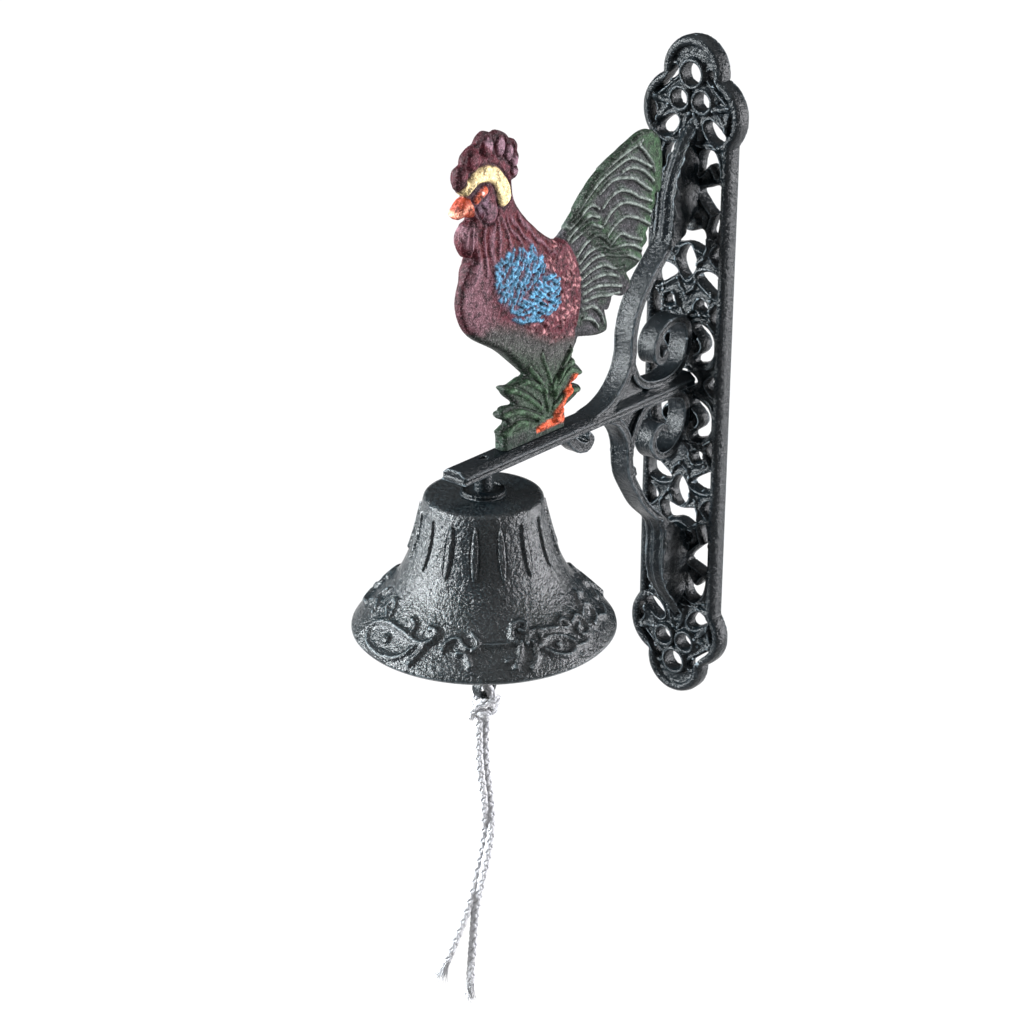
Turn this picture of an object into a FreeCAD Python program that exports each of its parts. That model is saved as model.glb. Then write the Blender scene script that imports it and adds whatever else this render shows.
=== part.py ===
import FreeCAD, Part
import math
import os

# Wall mounted rooster bell: cast-iron plate, scroll bracket, rooster, bell, clapper and pull rope.
# Frame: X across the plate, the wall plane is Y = 0 and the object stands out towards -Y, +Z is up.
# The origin is the centre of the plate's back face.  Millimetres.

Vector = FreeCAD.Vector
os.makedirs("parts", exist_ok=True)

# ---- driving dimensions ----------------------------------------------------------------------
PLATE_HALF_HEIGHT = 155.0
PLATE_HALF_WIDTH = 21.6
PLATE_THICK = 5.3
RIM_WIDTH = 4.1
RIM_FRONT = 7.6
SIDE_LOBE_CENTRE = (8.54, 121.53)
SIDE_LOBE_R = 17.42
TOP_LOBE_Z = 139.4
TOP_LOBE_R = PLATE_HALF_HEIGHT - TOP_LOBE_Z
MOUNT_HOLE_Z = 138.65
MOUNT_HOLE_R = 4.8
PAIR_HOLE = (5.9, 127.4)
PAIR_HOLE_R = 3.9
RING_WALL = 1.7
RING_FRONT = 7.7
FRET_MID_Z = 1.5

ARM_END_Y = -158.8
ARM_HALF_WIDTH = 6.45
ARM_SIDE_HEIGHT = 3.0
ARM_HEIGHT = 5.6
ARM_FLAT_HALF_WIDTH = 3.4
STRIP_HALF = 1.5
BRACE_HALF_WIDTH = 5.0
VOLUTE_HALF_WIDTH = 4.8
LEAF_HALF_WIDTH = 5.6
WEB_HALF_WIDTH = 3.0
CURL_HALF_WIDTH = 3.0
KNOB_R = 2.6
PAD_DEPTH = 3.6
FOOT_SCREW_Z = 98.0
FOOT_SCREW_R = 1.5
FOOT_SCREW_HEAD_R = 3.0
FOOT_SCREW_LENGTH = 14.0

BELL_Y = -140.7
BELL_TOP_Z = -10.0
BELL_MOUTH_Z = -69.7
BELL_WALL = 3.2
BELL_OUTER = [(24.9, -12.5), (26.9, -21.6), (29.2, -30.2), (32.3, -39.0),
              (36.6, -47.0), (43.0, -54.5), (49.3, -61.0), (53.6, -65.6)]
BELL_CORNER_R = 2.3
BELL_MOUTH_R = 55.2

HANGER_R = 2.0
HANGER_TOP_Z = 4.4
SLEEVE_R = 3.9
CROWN_DISC_R = 9.3
CROWN_DISC_THICK = 2.0
BELL_WASHER_R = 6.5
BELL_WASHER_THICK = 1.0
BELL_NUT_FLAT = 7.0
BELL_NUT_THICK = 3.2
EYE_R = 3.4
EYE_WIRE_R = 1.3
EYE_Z = -25.4
LINK_HALF_WIDTH = 3.2
LINK_LENGTH = 10.0
LINK_WIRE_R = 1.0
LINK_GAP = 0.15
CLAPPER_WIRE_R = 1.2
CLAPPER_LOOP_R = 3.2
CLAPPER_ROD_R = 2.4
BALL_Z = -66.0
BALL_R = 11.0
TAIL_EYE_Z = -98.4
TAIL_EYE_R = 5.7
TAIL_HOLE_R = 2.9
TAIL_THICK = 3.8
TAIL_CHAMFER = 1.2

ROPE_DIA = 4.0
HITCH_HALF_WIDTH = 4.3
KNOT_TOP_Z = -106.2
KNOT_LENGTH = 5.0
KNOT_R = 4.9
ROPE_END_LENGTH = 12.0
ROPE_END_R = 3.0
SWAY_AZIMUTH = 40.7

ROOSTER_HALF_THICK = 2.6
ROOSTER_BASE_Y = (-131.0, -92.0)
ROOSTER_BASE_TOP_Z = 13.0
ROOSTER_SCREW_Y = (-122.0, -101.0)
ROOSTER_SCREW_R = 1.5
ROOSTER_SCREW_HEAD_R = 3.0
ROOSTER_SCREW_HEAD = 2.0
ROOSTER_SCREW_TOP_Z = 12.0


# ---- helpers ---------------------------------------------------------------------------------
def save(node, shape):
    """Write one node's solids."""
    assert shape.isValid(), node
    assert len(shape.Solids) >= 1, node
    shape.exportStep("parts/" + node + ".step")
    box = shape.BoundBox
    print(node, len(shape.Solids), round(shape.Volume), [round(v, 1) for v in (
        box.XMin, box.YMin, box.ZMin, box.XMax, box.YMax, box.ZMax)])


def edge_through(points):
    """A straight edge through two points, or a smooth curve through more."""
    if len(points) == 2:
        return Part.makeLine(points[0], points[1])
    curve = Part.BSplineCurve()
    curve.interpolate(points)
    return curve.toShape()


def closed_curve(points):
    """A smooth closed wire through the points."""
    curve = Part.BSplineCurve()
    curve.interpolate(points, PeriodicFlag=True)
    return Part.Wire([curve.toShape()])


def side_points(pairs, x):
    """(y, z) pairs as points in the plane X = x."""
    return [Vector(x, y, z) for y, z in pairs]


def front_points(pairs, y):
    """(x, z) pairs as points in the plane Y = y."""
    return [Vector(x, y, z) for x, z in pairs]


def side_slab(runs, half_thick):
    """A slab centred on X = 0 whose outline is a chain of runs of (y, z) pairs."""
    edges = [edge_through(side_points(run, -half_thick)) for run in runs]
    face = Part.Face(Part.Wire(edges))
    return face.extrude(Vector(2 * half_thick, 0, 0))


def ribbon(centres, half_widths, half_thick):
    """A slab in the YZ plane that follows a centre line with a width at each point."""
    left = []
    right = []
    last = len(centres) - 1
    for i, (y, z) in enumerate(centres):
        before = centres[max(i - 1, 0)]
        after = centres[min(i + 1, last)]
        run_y = after[0] - before[0]
        run_z = after[1] - before[1]
        run = math.hypot(run_y, run_z)
        off_y = -run_z / run * half_widths[i]
        off_z = run_y / run * half_widths[i]
        left.append((y + off_y, z + off_z))
        right.append((y - off_y, z - off_z))
    right.reverse()
    return side_slab([left, [left[-1], right[0]], right, [right[-1], left[0]]], half_thick)


def rod_y(x, z, radius, y_from, y_to):
    """A cylinder along Y."""
    return Part.makeCylinder(radius, y_to - y_from, Vector(x, y_from, z), Vector(0, 1, 0))


def rod_z(y, radius, z_from, z_to):
    """A cylinder along Z on the X = 0 plane."""
    return Part.makeCylinder(radius, z_to - z_from, Vector(0, y, z_from), Vector(0, 0, 1))


def fuse(shapes):
    """Join shapes into one clean solid."""
    return shapes[0].multiFuse(shapes[1:]).removeSplitter()


def cut(shape, tools):
    """Take every tool out of the shape."""
    return shape.cut(Part.makeCompound(tools))


# ---- the wall plate --------------------------------------------------------------------------
def plate_wire(inset, y):
    """The plate's outline: straight sides, two side lobes and an end lobe at each end."""
    side = PLATE_HALF_WIDTH - inset
    lobe_x, lobe_z = SIDE_LOBE_CENTRE
    lobe_r = SIDE_LOBE_R - inset
    end_r = TOP_LOBE_R - inset
    notch_z = lobe_z - math.sqrt(lobe_r ** 2 - (side - lobe_x) ** 2)
    gap = math.hypot(lobe_x, TOP_LOBE_Z - lobe_z)
    along = (gap ** 2 + lobe_r ** 2 - end_r ** 2) / (2 * gap)
    across = math.sqrt(lobe_r ** 2 - along ** 2)
    unit_x = -lobe_x / gap
    unit_z = (TOP_LOBE_Z - lobe_z) / gap
    waist_x = lobe_x + unit_x * along + unit_z * across
    waist_z = lobe_z + unit_z * along - unit_x * across
    bulge = (lobe_x + lobe_r, lobe_z)
    tip_z = TOP_LOBE_Z + end_r

    def arc(points):
        ends = front_points(points, y)
        return Part.Arc(ends[0], ends[1], ends[2]).toShape()

    edges = []
    for end in (1, -1):
        for hand in (1, -1):
            edges.append(arc([(hand * side, end * notch_z), (hand * bulge[0], end * bulge[1]),
                              (hand * waist_x, end * waist_z)]))
        edges.append(arc([(waist_x, end * waist_z), (0, end * tip_z), (-waist_x, end * waist_z)]))
    for hand in (1, -1):
        edges.append(edge_through(front_points([(hand * side, -notch_z), (hand * side, notch_z)], y)))
    return Part.Wire(Part.__sortEdges__(edges))


def fret_opening(pairs):
    """One smooth opening right through the plate."""
    face = Part.Face(closed_curve(front_points(pairs, -RIM_FRONT - 1)))
    return face.extrude(Vector(0, RIM_FRONT + 2, 0))


def fret_openings():
    """The pierced pattern: the shapes of one quarter, mirrored, and those on the centre line."""
    quarter = [
        [(5.2, 94.5), (10.3, 99.5), (14.9, 94.5), (13.5, 102.5), (9.8, 105.8), (6.0, 102.5)],
        [(5.4, 87.0), (9.0, 82.0), (14.5, 77.5), (16.5, 82.0), (16.0, 90.5), (10.5, 89.3)],
        [(11.3, 69.5), (14.2, 68.5), (15.8, 75.5), (14.2, 78.0), (12.6, 74.5)],
        [(12.9, 59.5), (16.7, 56.0), (16.8, 63.8)],
        [(5.5, 49.0), (10.5, 44.5), (16.5, 41.5), (17.0, 49.0), (11.5, 51.5)],
        [(6.3, 34.5), (10.5, 33.0), (11.0, 36.5), (7.3, 38.0)],
        [(13.3, 31.0), (16.9, 27.5), (17.0, 37.5)],
        [(6.5, 8.4), (13.1, 11.2), (15.7, 17.8), (13.1, 24.4), (6.5, 27.2),
         (5.5, 24.8), (9.9, 21.2), (11.3, 17.8), (9.9, 14.4), (5.5, 10.8)],
        [(7.3, 117.2), (10.4, 112.0), (16.3, 110.5), (17.2, 114.0), (10.5, 119.2)],
        [(8.3, 137.8), (13.2, 133.2), (19.2, 128.5), (14.2, 134.4), (9.6, 140.5)],
        [(19.7, 114.5), (21.4, 117.5), (21.3, 123.5), (19.6, 121.0)],
    ]
    centre = [
        [(-8.6, 61.5), (0, 63.0), (8.6, 61.5), (9.0, 67.0), (7.0, 70.0), (0, 68.0),
         (-7.0, 70.0), (-9.0, 67.0)],
        [(0, 47.0), (4.4, 54.5), (0, 62.0), (-4.4, 54.5)],
        [(0, 107.0), (2.0, 111.0), (0, 116.5), (-2.0, 111.0)],
    ]
    middle = [
        [(-7.0, 0.5), (0, -3.4), (7.0, 0.5), (0, 4.4)],
        [(12.6, 0.0), (16.8, -3.8), (16.8, 3.8)],
        [(-12.6, 0.0), (-16.8, -3.8), (-16.8, 3.8)],
    ]
    tools = []
    for end in (1, -1):
        for pairs in quarter:
            for hand in (1, -1):
                tools.append(fret_opening([(hand * x, FRET_MID_Z * fret_shift(z) + end * z) for x, z in pairs]))
        for pairs in centre:
            tools.append(fret_opening([(x, FRET_MID_Z * fret_shift(z) + end * z) for x, z in pairs]))
    for pairs in middle:
        tools.append(fret_opening([(x, FRET_MID_Z + z) for x, z in pairs]))
    return tools


def fret_shift(z):
    """The pattern sits a little high between the lobes and is centred within them."""
    return 0.0 if z > 108 else 1.0


def plate_holes():
    """(x, z, radius) of the six ringed holes; the two on the centre line take the wall screws."""
    holes = []
    for end in (1, -1):
        holes.append((0.0, end * MOUNT_HOLE_Z, MOUNT_HOLE_R))
        for hand in (1, -1):
            holes.append((hand * PAIR_HOLE[0], end * PAIR_HOLE[1], PAIR_HOLE_R))
    return holes


def wall_plate():
    """Pierced plate with a raised rim and six raised rings."""
    base = Part.Face(plate_wire(0, 0)).extrude(Vector(0, -PLATE_THICK, 0))
    rim_outer = Part.Face(plate_wire(0.9, -PLATE_THICK)).extrude(Vector(0, PLATE_THICK - RIM_FRONT, 0))
    rim_inner = Part.Face(plate_wire(RIM_WIDTH, -PLATE_THICK)).extrude(Vector(0, -RIM_FRONT, 0))
    rim = rim_outer.cut(rim_inner)
    rings = [rod_y(x, z, r + RING_WALL, -RING_FRONT, -PLATE_THICK) for x, z, r in plate_holes()]
    plate = fuse([base, rim] + rings)
    tools = fret_openings()
    tools += [rod_y(x, z, r, -RING_FRONT - 1, 1) for x, z, r in plate_holes()]
    for end in (1, -1):
        tools.append(rod_y(0, end * FOOT_SCREW_Z, FOOT_SCREW_R, -PLATE_THICK - 1, 1))
        tools.append(screw_head(end * FOOT_SCREW_Z))
    return cut(plate, tools)


def screw_head(z):
    """The countersunk head of a bracket screw, flush with the plate's back."""
    depth = FOOT_SCREW_HEAD_R - FOOT_SCREW_R
    return Part.makeCone(FOOT_SCREW_R, FOOT_SCREW_HEAD_R, depth, Vector(0, -depth, z), Vector(0, 1, 0))


def bracket_screws():
    """Two countersunk screws, driven from the back of the plate into the bracket's feet."""
    screws = []
    for end in (1, -1):
        shank = rod_y(0, end * FOOT_SCREW_Z, FOOT_SCREW_R, -FOOT_SCREW_LENGTH, 0)
        screws.append(shank.fuse(screw_head(end * FOOT_SCREW_Z)).removeSplitter())
    return Part.makeCompound(screws)


# ---- the bracket -----------------------------------------------------------------------------
def arm_bar():
    """The flat arm, with sloped shoulders up to a flat top."""
    section = [(-ARM_HALF_WIDTH, 0), (ARM_HALF_WIDTH, 0), (ARM_HALF_WIDTH, ARM_SIDE_HEIGHT),
               (ARM_FLAT_HALF_WIDTH, ARM_HEIGHT), (-ARM_FLAT_HALF_WIDTH, ARM_HEIGHT),
               (-ARM_HALF_WIDTH, ARM_SIDE_HEIGHT), (-ARM_HALF_WIDTH, 0)]
    face = Part.Face(Part.makePolygon(front_points(section, ARM_END_Y)))
    return face.extrude(Vector(0, -PLATE_THICK - ARM_END_Y, 0))


def upper_brace():
    """The strip above the arm that rises to the plate."""
    centres = [(-74, 3.4), (-66, 5.2), (-58, 9.6), (-51.5, 17), (-48.6, 25), (-48.2, 34), (-45.2, 44),
               (-38.3, 54), (-28.3, 64), (-18.3, 74), (-10.3, 82), (-PLATE_THICK, 87.5)]
    return ribbon(centres, [STRIP_HALF] * len(centres), BRACE_HALF_WIDTH)


def lower_brace():
    """The strip below the arm that drops to the plate."""
    centres = [(-66, 1.4), (-58.5, -2.4), (-52.6, -9), (-50, -16), (-49.3, -24), (-47.8, -31),
               (-43.2, -39), (-36.2, -49), (-26.4, -58), (-17.6, -66.5), (-10, -74), (-PLATE_THICK, -79)]
    return ribbon(centres, [STRIP_HALF] * len(centres), BRACE_HALF_WIDTH)


def upper_leaf():
    """The leaf that covers the upper brace's foot and lies on the plate."""
    back = -PLATE_THICK
    front = [(-27, 66), (-24.4, 72), (-23.4, 80), (-23, 88), (-20, 98), (-13, 110), (back, 119)]
    return side_slab([front, [(back, 119), (back, 82)], [(back, 82), (-16, 70)], [(-16, 70), (-27, 66)]],
                     LEAF_HALF_WIDTH)


def lower_leaf():
    """The broader leaf at the lower brace's foot."""
    back = -PLATE_THICK
    front = [(-27.5, -57.5), (-24.2, -66), (-24.3, -77), (-23.8, -87), (-19.5, -97), (-12.5, -106),
             (back, -113)]
    return side_slab([front, [(back, -113), (back, -75)], [(back, -75), (-27.5, -57.5)]], LEAF_HALF_WIDTH)


def upper_volute():
    """The spiral strip that leaves the upper brace, runs along the arm and curls up."""
    centres = [(-49.3, 21.5), (-45, 13.6), (-39, 9.2), (-31, 7.3), (-23, 7.3), (-15, 10), (-10, 16),
               (-8.6, 24), (-11.2, 30.4), (-17, 33.2), (-24, 32.4), (-29.5, 29), (-32, 24),
               (-31, 18.7), (-27.6, 16.8), (-25.4, 19.6)]
    return ribbon(centres, [STRIP_HALF] * len(centres), VOLUTE_HALF_WIDTH)


def lower_volute():
    """The spiral strip below the arm, a rough mirror of the upper one."""
    centres = [(-49.6, -20), (-46, -11.5), (-41.5, -4.5), (-36, -1), (-26, -0.6), (-15, -2.2),
               (-9.4, -7), (-8.6, -15), (-12, -22.5), (-19, -27.6), (-27, -28), (-32, -23),
               (-32, -17.5), (-28, -14.2), (-24, -15.6)]
    return ribbon(centres, [STRIP_HALF] * len(centres), VOLUTE_HALF_WIDTH)


def hook_curl():
    """The small curl under the arm, in front of the lower brace."""
    centres = [(-89.5, 0.8), (-86.5, -3.5), (-82, -7.2), (-77.2, -8.6), (-74.2, -6.4), (-75.6, -3.9)]
    widths = [2.2, 2.6, 2.6, 2.4, 2.0, 1.4]
    return ribbon(centres, widths, CURL_HALF_WIDTH)


def bracket_webs():
    """The webs between arm, brace and spiral, and the pads by which the spirals bear on the plate."""
    top_web = side_slab([[(-62, 5), (-49.5, 21)], [(-49.5, 21), (-39, 8)], [(-39, 8), (-39, 5)],
                         [(-39, 5), (-62, 5)]], WEB_HALF_WIDTH)
    low_web = side_slab([[(-62, 1), (-49.8, -18)], [(-49.8, -18), (-40, -2)], [(-40, -2), (-40, 1)],
                         [(-40, 1), (-62, 1)]], WEB_HALF_WIDTH)
    pads = []
    for z_from, z_to in ((19, 29), (-20, -10)):
        pads.append(Part.makeBox(2 * WEB_HALF_WIDTH, PAD_DEPTH, z_to - z_from,
                                 Vector(-WEB_HALF_WIDTH, -PLATE_THICK - PAD_DEPTH, z_from)))
    return [top_web, low_web] + pads


def lower_knob():
    """The round knob on the inner edge of the lower brace."""
    return Part.makeCylinder(KNOB_R, 2 * WEB_HALF_WIDTH, Vector(-WEB_HALF_WIDTH, -44.6, -31.0),
                             Vector(1, 0, 0))


def bracket():
    """One casting: arm, two braces with leaves, two spirals and a curl."""
    body = fuse([arm_bar(), upper_brace(), lower_brace(), upper_leaf(), lower_leaf(), upper_volute(),
                 lower_volute(), hook_curl(), lower_knob()] + bracket_webs())
    behind_plate_face = Part.makeBox(40, 20, 2 * PLATE_HALF_HEIGHT,
                                     Vector(-20, -PLATE_THICK, -PLATE_HALF_HEIGHT))
    tools = [behind_plate_face, rod_z(BELL_Y, HANGER_R, -1, ARM_HEIGHT + 1)]
    for end in (1, -1):
        tools.append(rod_y(0, end * FOOT_SCREW_Z, FOOT_SCREW_R, -FOOT_SCREW_LENGTH, 0))
    for y in ROOSTER_SCREW_Y:
        tools.append(rod_z(y, ROOSTER_SCREW_R, -1, ARM_HEIGHT + 1))
    return cut(body, tools)


# ---- the rooster -----------------------------------------------------------------------------
def rooster_outline():
    """The rooster's silhouette, runs of (y, z) from the front of its base round to the rear."""
    base_front, base_rear = ROOSTER_BASE_Y
    return [
        [(base_front, ARM_HEIGHT), (base_front, 11.6), (-132.5, 13.5), (-127.5, 17), (-132.5, 20.5),
         (-129.5, 24), (-122.5, 23.5), (-128.5, 29), (-130, 33), (-123.5, 32.5), (-116, 34.5)],
        [(-116, 34.5), (-123.5, 41.5), (-132.5, 49), (-146.5, 57.5), (-153, 64.5), (-156.1, 74),
         (-155.1, 84), (-152.5, 90.5)],
        [(-152.5, 90.5), (-156.5, 96), (-156.5, 103), (-152, 107.5), (-148.5, 108.5)],
        [(-148.5, 108.5), (-159.5, 111)],
        [(-159.5, 111), (-155.5, 114.8), (-152, 117)],
        [(-152, 117), (-158, 122), (-157.5, 128.5), (-153.5, 130)],
        [(-153.5, 130), (-152, 135), (-146.5, 136.5)],
        [(-146.5, 136.5), (-141, 140), (-136, 138.2)],
        [(-136, 138.2), (-130.5, 137.5), (-127, 132.5)],
        [(-127, 132.5), (-121.5, 129.5), (-120.7, 124)],
        [(-120.7, 124), (-121, 119), (-125, 117.8)],
        [(-125, 117.8), (-123.5, 110), (-117.5, 102), (-108.5, 93.5), (-100.5, 88.5), (-94.5, 86.5)],
        [(-94.5, 86.5), (-84.5, 96), (-74.5, 106.5), (-62.5, 113), (-48.5, 119.5), (-38.5, 120.8), (-31.5, 115),
         (-28, 104), (-28.5, 94), (-31.5, 86)],
        [(-31.5, 86), (-36, 74), (-37.5, 67.5), (-43.5, 63.5), (-50.5, 62)],
        [(-50.5, 62), (-47.5, 56.5), (-52.5, 52.5), (-59.5, 54.5)],
        [(-59.5, 54.5), (-62.5, 49), (-65, 49.5)],
        [(-65, 49.5), (-63, 41), (-69.5, 39.5), (-82.5, 42)],
        [(-82.5, 42), (-86.5, 36), (-84.5, 31.5)],
        [(-84.5, 31.5), (-80, 26.5), (-83.5, 24.5), (-88.5, 23)],
        [(-88.5, 23), (-81.5, 20.5), (-83, 17), (base_rear, 13.4)],
        [(base_rear, 13.4), (base_rear, ARM_HEIGHT)],
        [(base_rear, ARM_HEIGHT), (base_front, ARM_HEIGHT)],
    ]


def swelling(y, z, radius, height):
    """A lens that swells from both faces of the rooster, centred on (y, z)."""
    sphere_r = (radius ** 2 + height ** 2) / (2 * height)
    half = Part.makeSphere(sphere_r, Vector(height - sphere_r, y, z))
    other = Part.makeSphere(sphere_r, Vector(sphere_r - height, y, z))
    return half.common(other)


def rooster():
    """A flat casting with a swollen body, neck and comb, on a short base bar."""
    sheet = side_slab(rooster_outline(), ROOSTER_HALF_THICK)
    base_front, base_rear = ROOSTER_BASE_Y
    base = Part.makeBox(2 * ARM_FLAT_HALF_WIDTH, base_rear - base_front,
                        ROOSTER_BASE_TOP_Z - ARM_HEIGHT,
                        Vector(-ARM_FLAT_HALF_WIDTH, base_front, ARM_HEIGHT))
    body = swelling(-117.5, 69, 32, 6.2)
    head = swelling(-138.5, 108, 14, 4.6)
    shape = fuse([sheet, base, body, head])
    tools = [rod_z(y, ROOSTER_SCREW_R, 0, ROOSTER_SCREW_TOP_Z) for y in ROOSTER_SCREW_Y]
    return cut(shape, tools)


def rooster_screws():
    """Two pan-head screws up through the arm into the rooster's base."""
    screws = []
    for y in ROOSTER_SCREW_Y:
        shank = rod_z(y, ROOSTER_SCREW_R, 0, ROOSTER_SCREW_TOP_Z)
        head = rod_z(y, ROOSTER_SCREW_HEAD_R, -ROOSTER_SCREW_HEAD, 0)
        screws.append(shank.fuse(head).removeSplitter())
    return Part.makeCompound(screws)


# ---- the bell and its hanger -----------------------------------------------------------------
def bell():
    """A bell turned about its axis: flat crown, flared side, round lip."""
    outer = [Vector(r, 0, z) for r, z in BELL_OUTER]
    inner = [Vector(r - BELL_WALL, 0, z - 0.35 * BELL_WALL) for r, z in BELL_OUTER[1:]]
    inner_top = Vector(BELL_OUTER[0][0] - BELL_WALL - 0.6, 0, BELL_TOP_Z - BELL_WALL)
    lip_outer = Vector(BELL_MOUTH_R, 0, BELL_MOUTH_Z + 1.2)
    lip_inner = Vector(BELL_MOUTH_R - BELL_WALL, 0, BELL_MOUTH_Z)
    crown = Vector(BELL_OUTER[0][0] - BELL_CORNER_R, 0, BELL_TOP_Z)
    corner_mid = Vector(crown.x + BELL_CORNER_R * 0.7, 0, BELL_TOP_Z - BELL_CORNER_R * 0.3)
    edges = [
        Part.makeLine(Vector(HANGER_R, 0, BELL_TOP_Z), crown),
        Part.Arc(crown, corner_mid, outer[0]).toShape(),
        edge_through(outer + [lip_outer]),
        Part.Arc(lip_outer, Vector(BELL_MOUTH_R - 0.9, 0, BELL_MOUTH_Z + 0.1), lip_inner).toShape(),
        edge_through([lip_inner] + list(reversed(inner))),
        Part.makeLine(inner[0], inner_top),
        Part.makeLine(inner_top, Vector(HANGER_R, 0, BELL_TOP_Z - BELL_WALL)),
        Part.makeLine(Vector(HANGER_R, 0, BELL_TOP_Z - BELL_WALL), Vector(HANGER_R, 0, BELL_TOP_Z)),
    ]
    face = Part.Face(Part.Wire(edges))
    solid = face.revolve(Vector(0, 0, 0), Vector(0, 0, 1), 360)
    solid.translate(Vector(0, BELL_Y, 0))
    return solid


def washer(radius, bore, z_top, thick):
    """A flat washer on the bell's axis, its top face at z_top."""
    disc = rod_z(BELL_Y, radius, z_top - thick, z_top)
    return disc.cut(rod_z(BELL_Y, bore, z_top - thick - 1, z_top + 1))


def bell_nut(z_top):
    """The hexagon nut that clamps the bell on the hanger bolt."""
    corner_r = BELL_NUT_FLAT / 2 / math.cos(math.radians(30))
    corners = [Vector(corner_r * math.cos(math.radians(60 * i)),
                      BELL_Y + corner_r * math.sin(math.radians(60 * i)), z_top) for i in range(6)]
    prism = Part.Face(Part.makePolygon(corners + corners[:1])).extrude(Vector(0, 0, -BELL_NUT_THICK))
    return prism.cut(rod_z(BELL_Y, HANGER_R, z_top - BELL_NUT_THICK - 1, z_top + 1))


def ring(z, radius, wire_r, axis):
    """A torus on the bell's axis."""
    return Part.makeTorus(radius, wire_r, Vector(0, BELL_Y, z), axis)


def hanger_bolt():
    """The eye bolt: screwed into the arm, through the bell's crown, its eye inside the bell."""
    shank = rod_z(BELL_Y, HANGER_R, EYE_Z + EYE_R - 0.4, HANGER_TOP_Z)
    return fuse([shank, ring(EYE_Z, EYE_R, EYE_WIRE_R, Vector(1, 0, 0))])


# ---- the clapper -----------------------------------------------------------------------------
LINK_TOP_Z = EYE_Z - EYE_R + EYE_WIRE_R + LINK_WIRE_R + LINK_GAP
LINK_BOTTOM_Z = LINK_TOP_Z - LINK_LENGTH
LOOP_TOP_Z = LINK_BOTTOM_Z + LINK_WIRE_R + CLAPPER_WIRE_R + LINK_GAP


def clapper_link():
    """An oval link in the XZ plane that joins the hanger's eye and the clapper's loop."""
    half = LINK_HALF_WIDTH
    top = LINK_TOP_Z - half
    bottom = LINK_BOTTOM_Z + half
    corners = [(half, top), (0, LINK_TOP_Z), (-half, top), (-half, bottom), (0, LINK_BOTTOM_Z),
               (half, bottom)]
    points = front_points(corners, BELL_Y)
    path = Part.Wire([
        Part.Arc(points[0], points[1], points[2]).toShape(),
        Part.makeLine(points[2], points[3]),
        Part.Arc(points[3], points[4], points[5]).toShape(),
        Part.makeLine(points[5], points[0]),
    ])
    section = Part.Wire([Part.makeCircle(LINK_WIRE_R, points[0], Vector(0, 0, 1))])
    return path.makePipeShell([section], True, True)


def clapper_rod():
    """The clapper's rod: a loop at the top and a flat, chamfered eye for the rope below."""
    loop_z = LOOP_TOP_Z - CLAPPER_LOOP_R
    loop = ring(loop_z, CLAPPER_LOOP_R, CLAPPER_WIRE_R, Vector(1, 0, 0))
    rod = rod_z(BELL_Y, CLAPPER_ROD_R, TAIL_EYE_Z + TAIL_HOLE_R + 1, loop_z - CLAPPER_LOOP_R + 0.6)
    eye = Part.makeCylinder(TAIL_EYE_R, TAIL_THICK, Vector(-TAIL_THICK / 2, BELL_Y, TAIL_EYE_Z),
                            Vector(1, 0, 0))
    hole = Part.makeCylinder(TAIL_HOLE_R, TAIL_THICK + 2,
                             Vector(-TAIL_THICK / 2 - 1, BELL_Y, TAIL_EYE_Z), Vector(1, 0, 0))
    tools = [hole]
    for hand in (1, -1):
        tools.append(Part.makeCone(TAIL_HOLE_R + TAIL_CHAMFER, TAIL_HOLE_R, TAIL_CHAMFER,
                                   Vector(hand * TAIL_THICK / 2, BELL_Y, TAIL_EYE_Z),
                                   Vector(-hand, 0, 0)))
    return cut(fuse([loop, rod, eye]), tools)


def clapper_ball():
    """The striking ball, cast round the rod."""
    ball = Part.makeSphere(BALL_R, Vector(0, BELL_Y, BALL_Z))
    return ball.cut(rod_z(BELL_Y, CLAPPER_ROD_R, BALL_Z - BALL_R - 1, BALL_Z + BALL_R + 1))


# ---- the pull rope ---------------------------------------------------------------------------
def rope_point(across, toward, z):
    """A point beside the bell's axis, in the vertical plane that the two strands hang in."""
    turn = math.radians(SWAY_AZIMUTH)
    x = across * math.cos(turn) + toward * math.sin(turn)
    y = BELL_Y + across * math.sin(turn) - toward * math.cos(turn)
    return Vector(x, y, z)


STRAND_A = [(-2.3, 0.2, -111.2), (-3.6, 0.9, -123), (-3.4, 0.4, -140), (-0.9, -0.8, -156),
            (-1.3, -0.9, -173), (-4.5, 0.1, -191), (-7.6, 0.7, -207), (-12.3, 0.9, -222),
            (-17.6, 0.2, -237)]
STRAND_B = [(1.9, -0.2, -111.2), (0.6, -0.6, -123), (0.8, -0.4, -140), (3.4, 0.9, -156),
            (2.9, 1.0, -173), (-0.2, 0.4, -191), (-3.0, -0.6, -207), (-4.9, -1.2, -221),
            (-6.1, -0.9, -235), (-6.9, -0.2, -248)]


def tube_path(points):
    """Straight runs joined by tangent arcs, each as large as its two runs allow."""
    edges = []
    radii = []
    start = points[0]
    for i in range(1, len(points) - 1):
        back = points[i - 1] - points[i]
        ahead = points[i + 1] - points[i]
        shorter = min(back.Length, ahead.Length)
        turn = math.pi - back.getAngle(ahead)
        radius = 0.45 * shorter / math.tan(turn / 2)
        radii.append(radius)
        tangent = 0.45 * shorter
        back.normalize()
        ahead.normalize()
        enter = points[i] + back * tangent
        leave = points[i] + ahead * tangent
        middle = back + ahead
        middle.normalize()
        depth = radius / math.cos(turn / 2) - radius
        edges.append(Part.makeLine(start, enter))
        edges.append(Part.Arc(enter, points[i] + middle * depth, leave).toShape())
        start = leave
    edges.append(Part.makeLine(start, points[-1]))
    return Part.Wire(edges), radii


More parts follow.
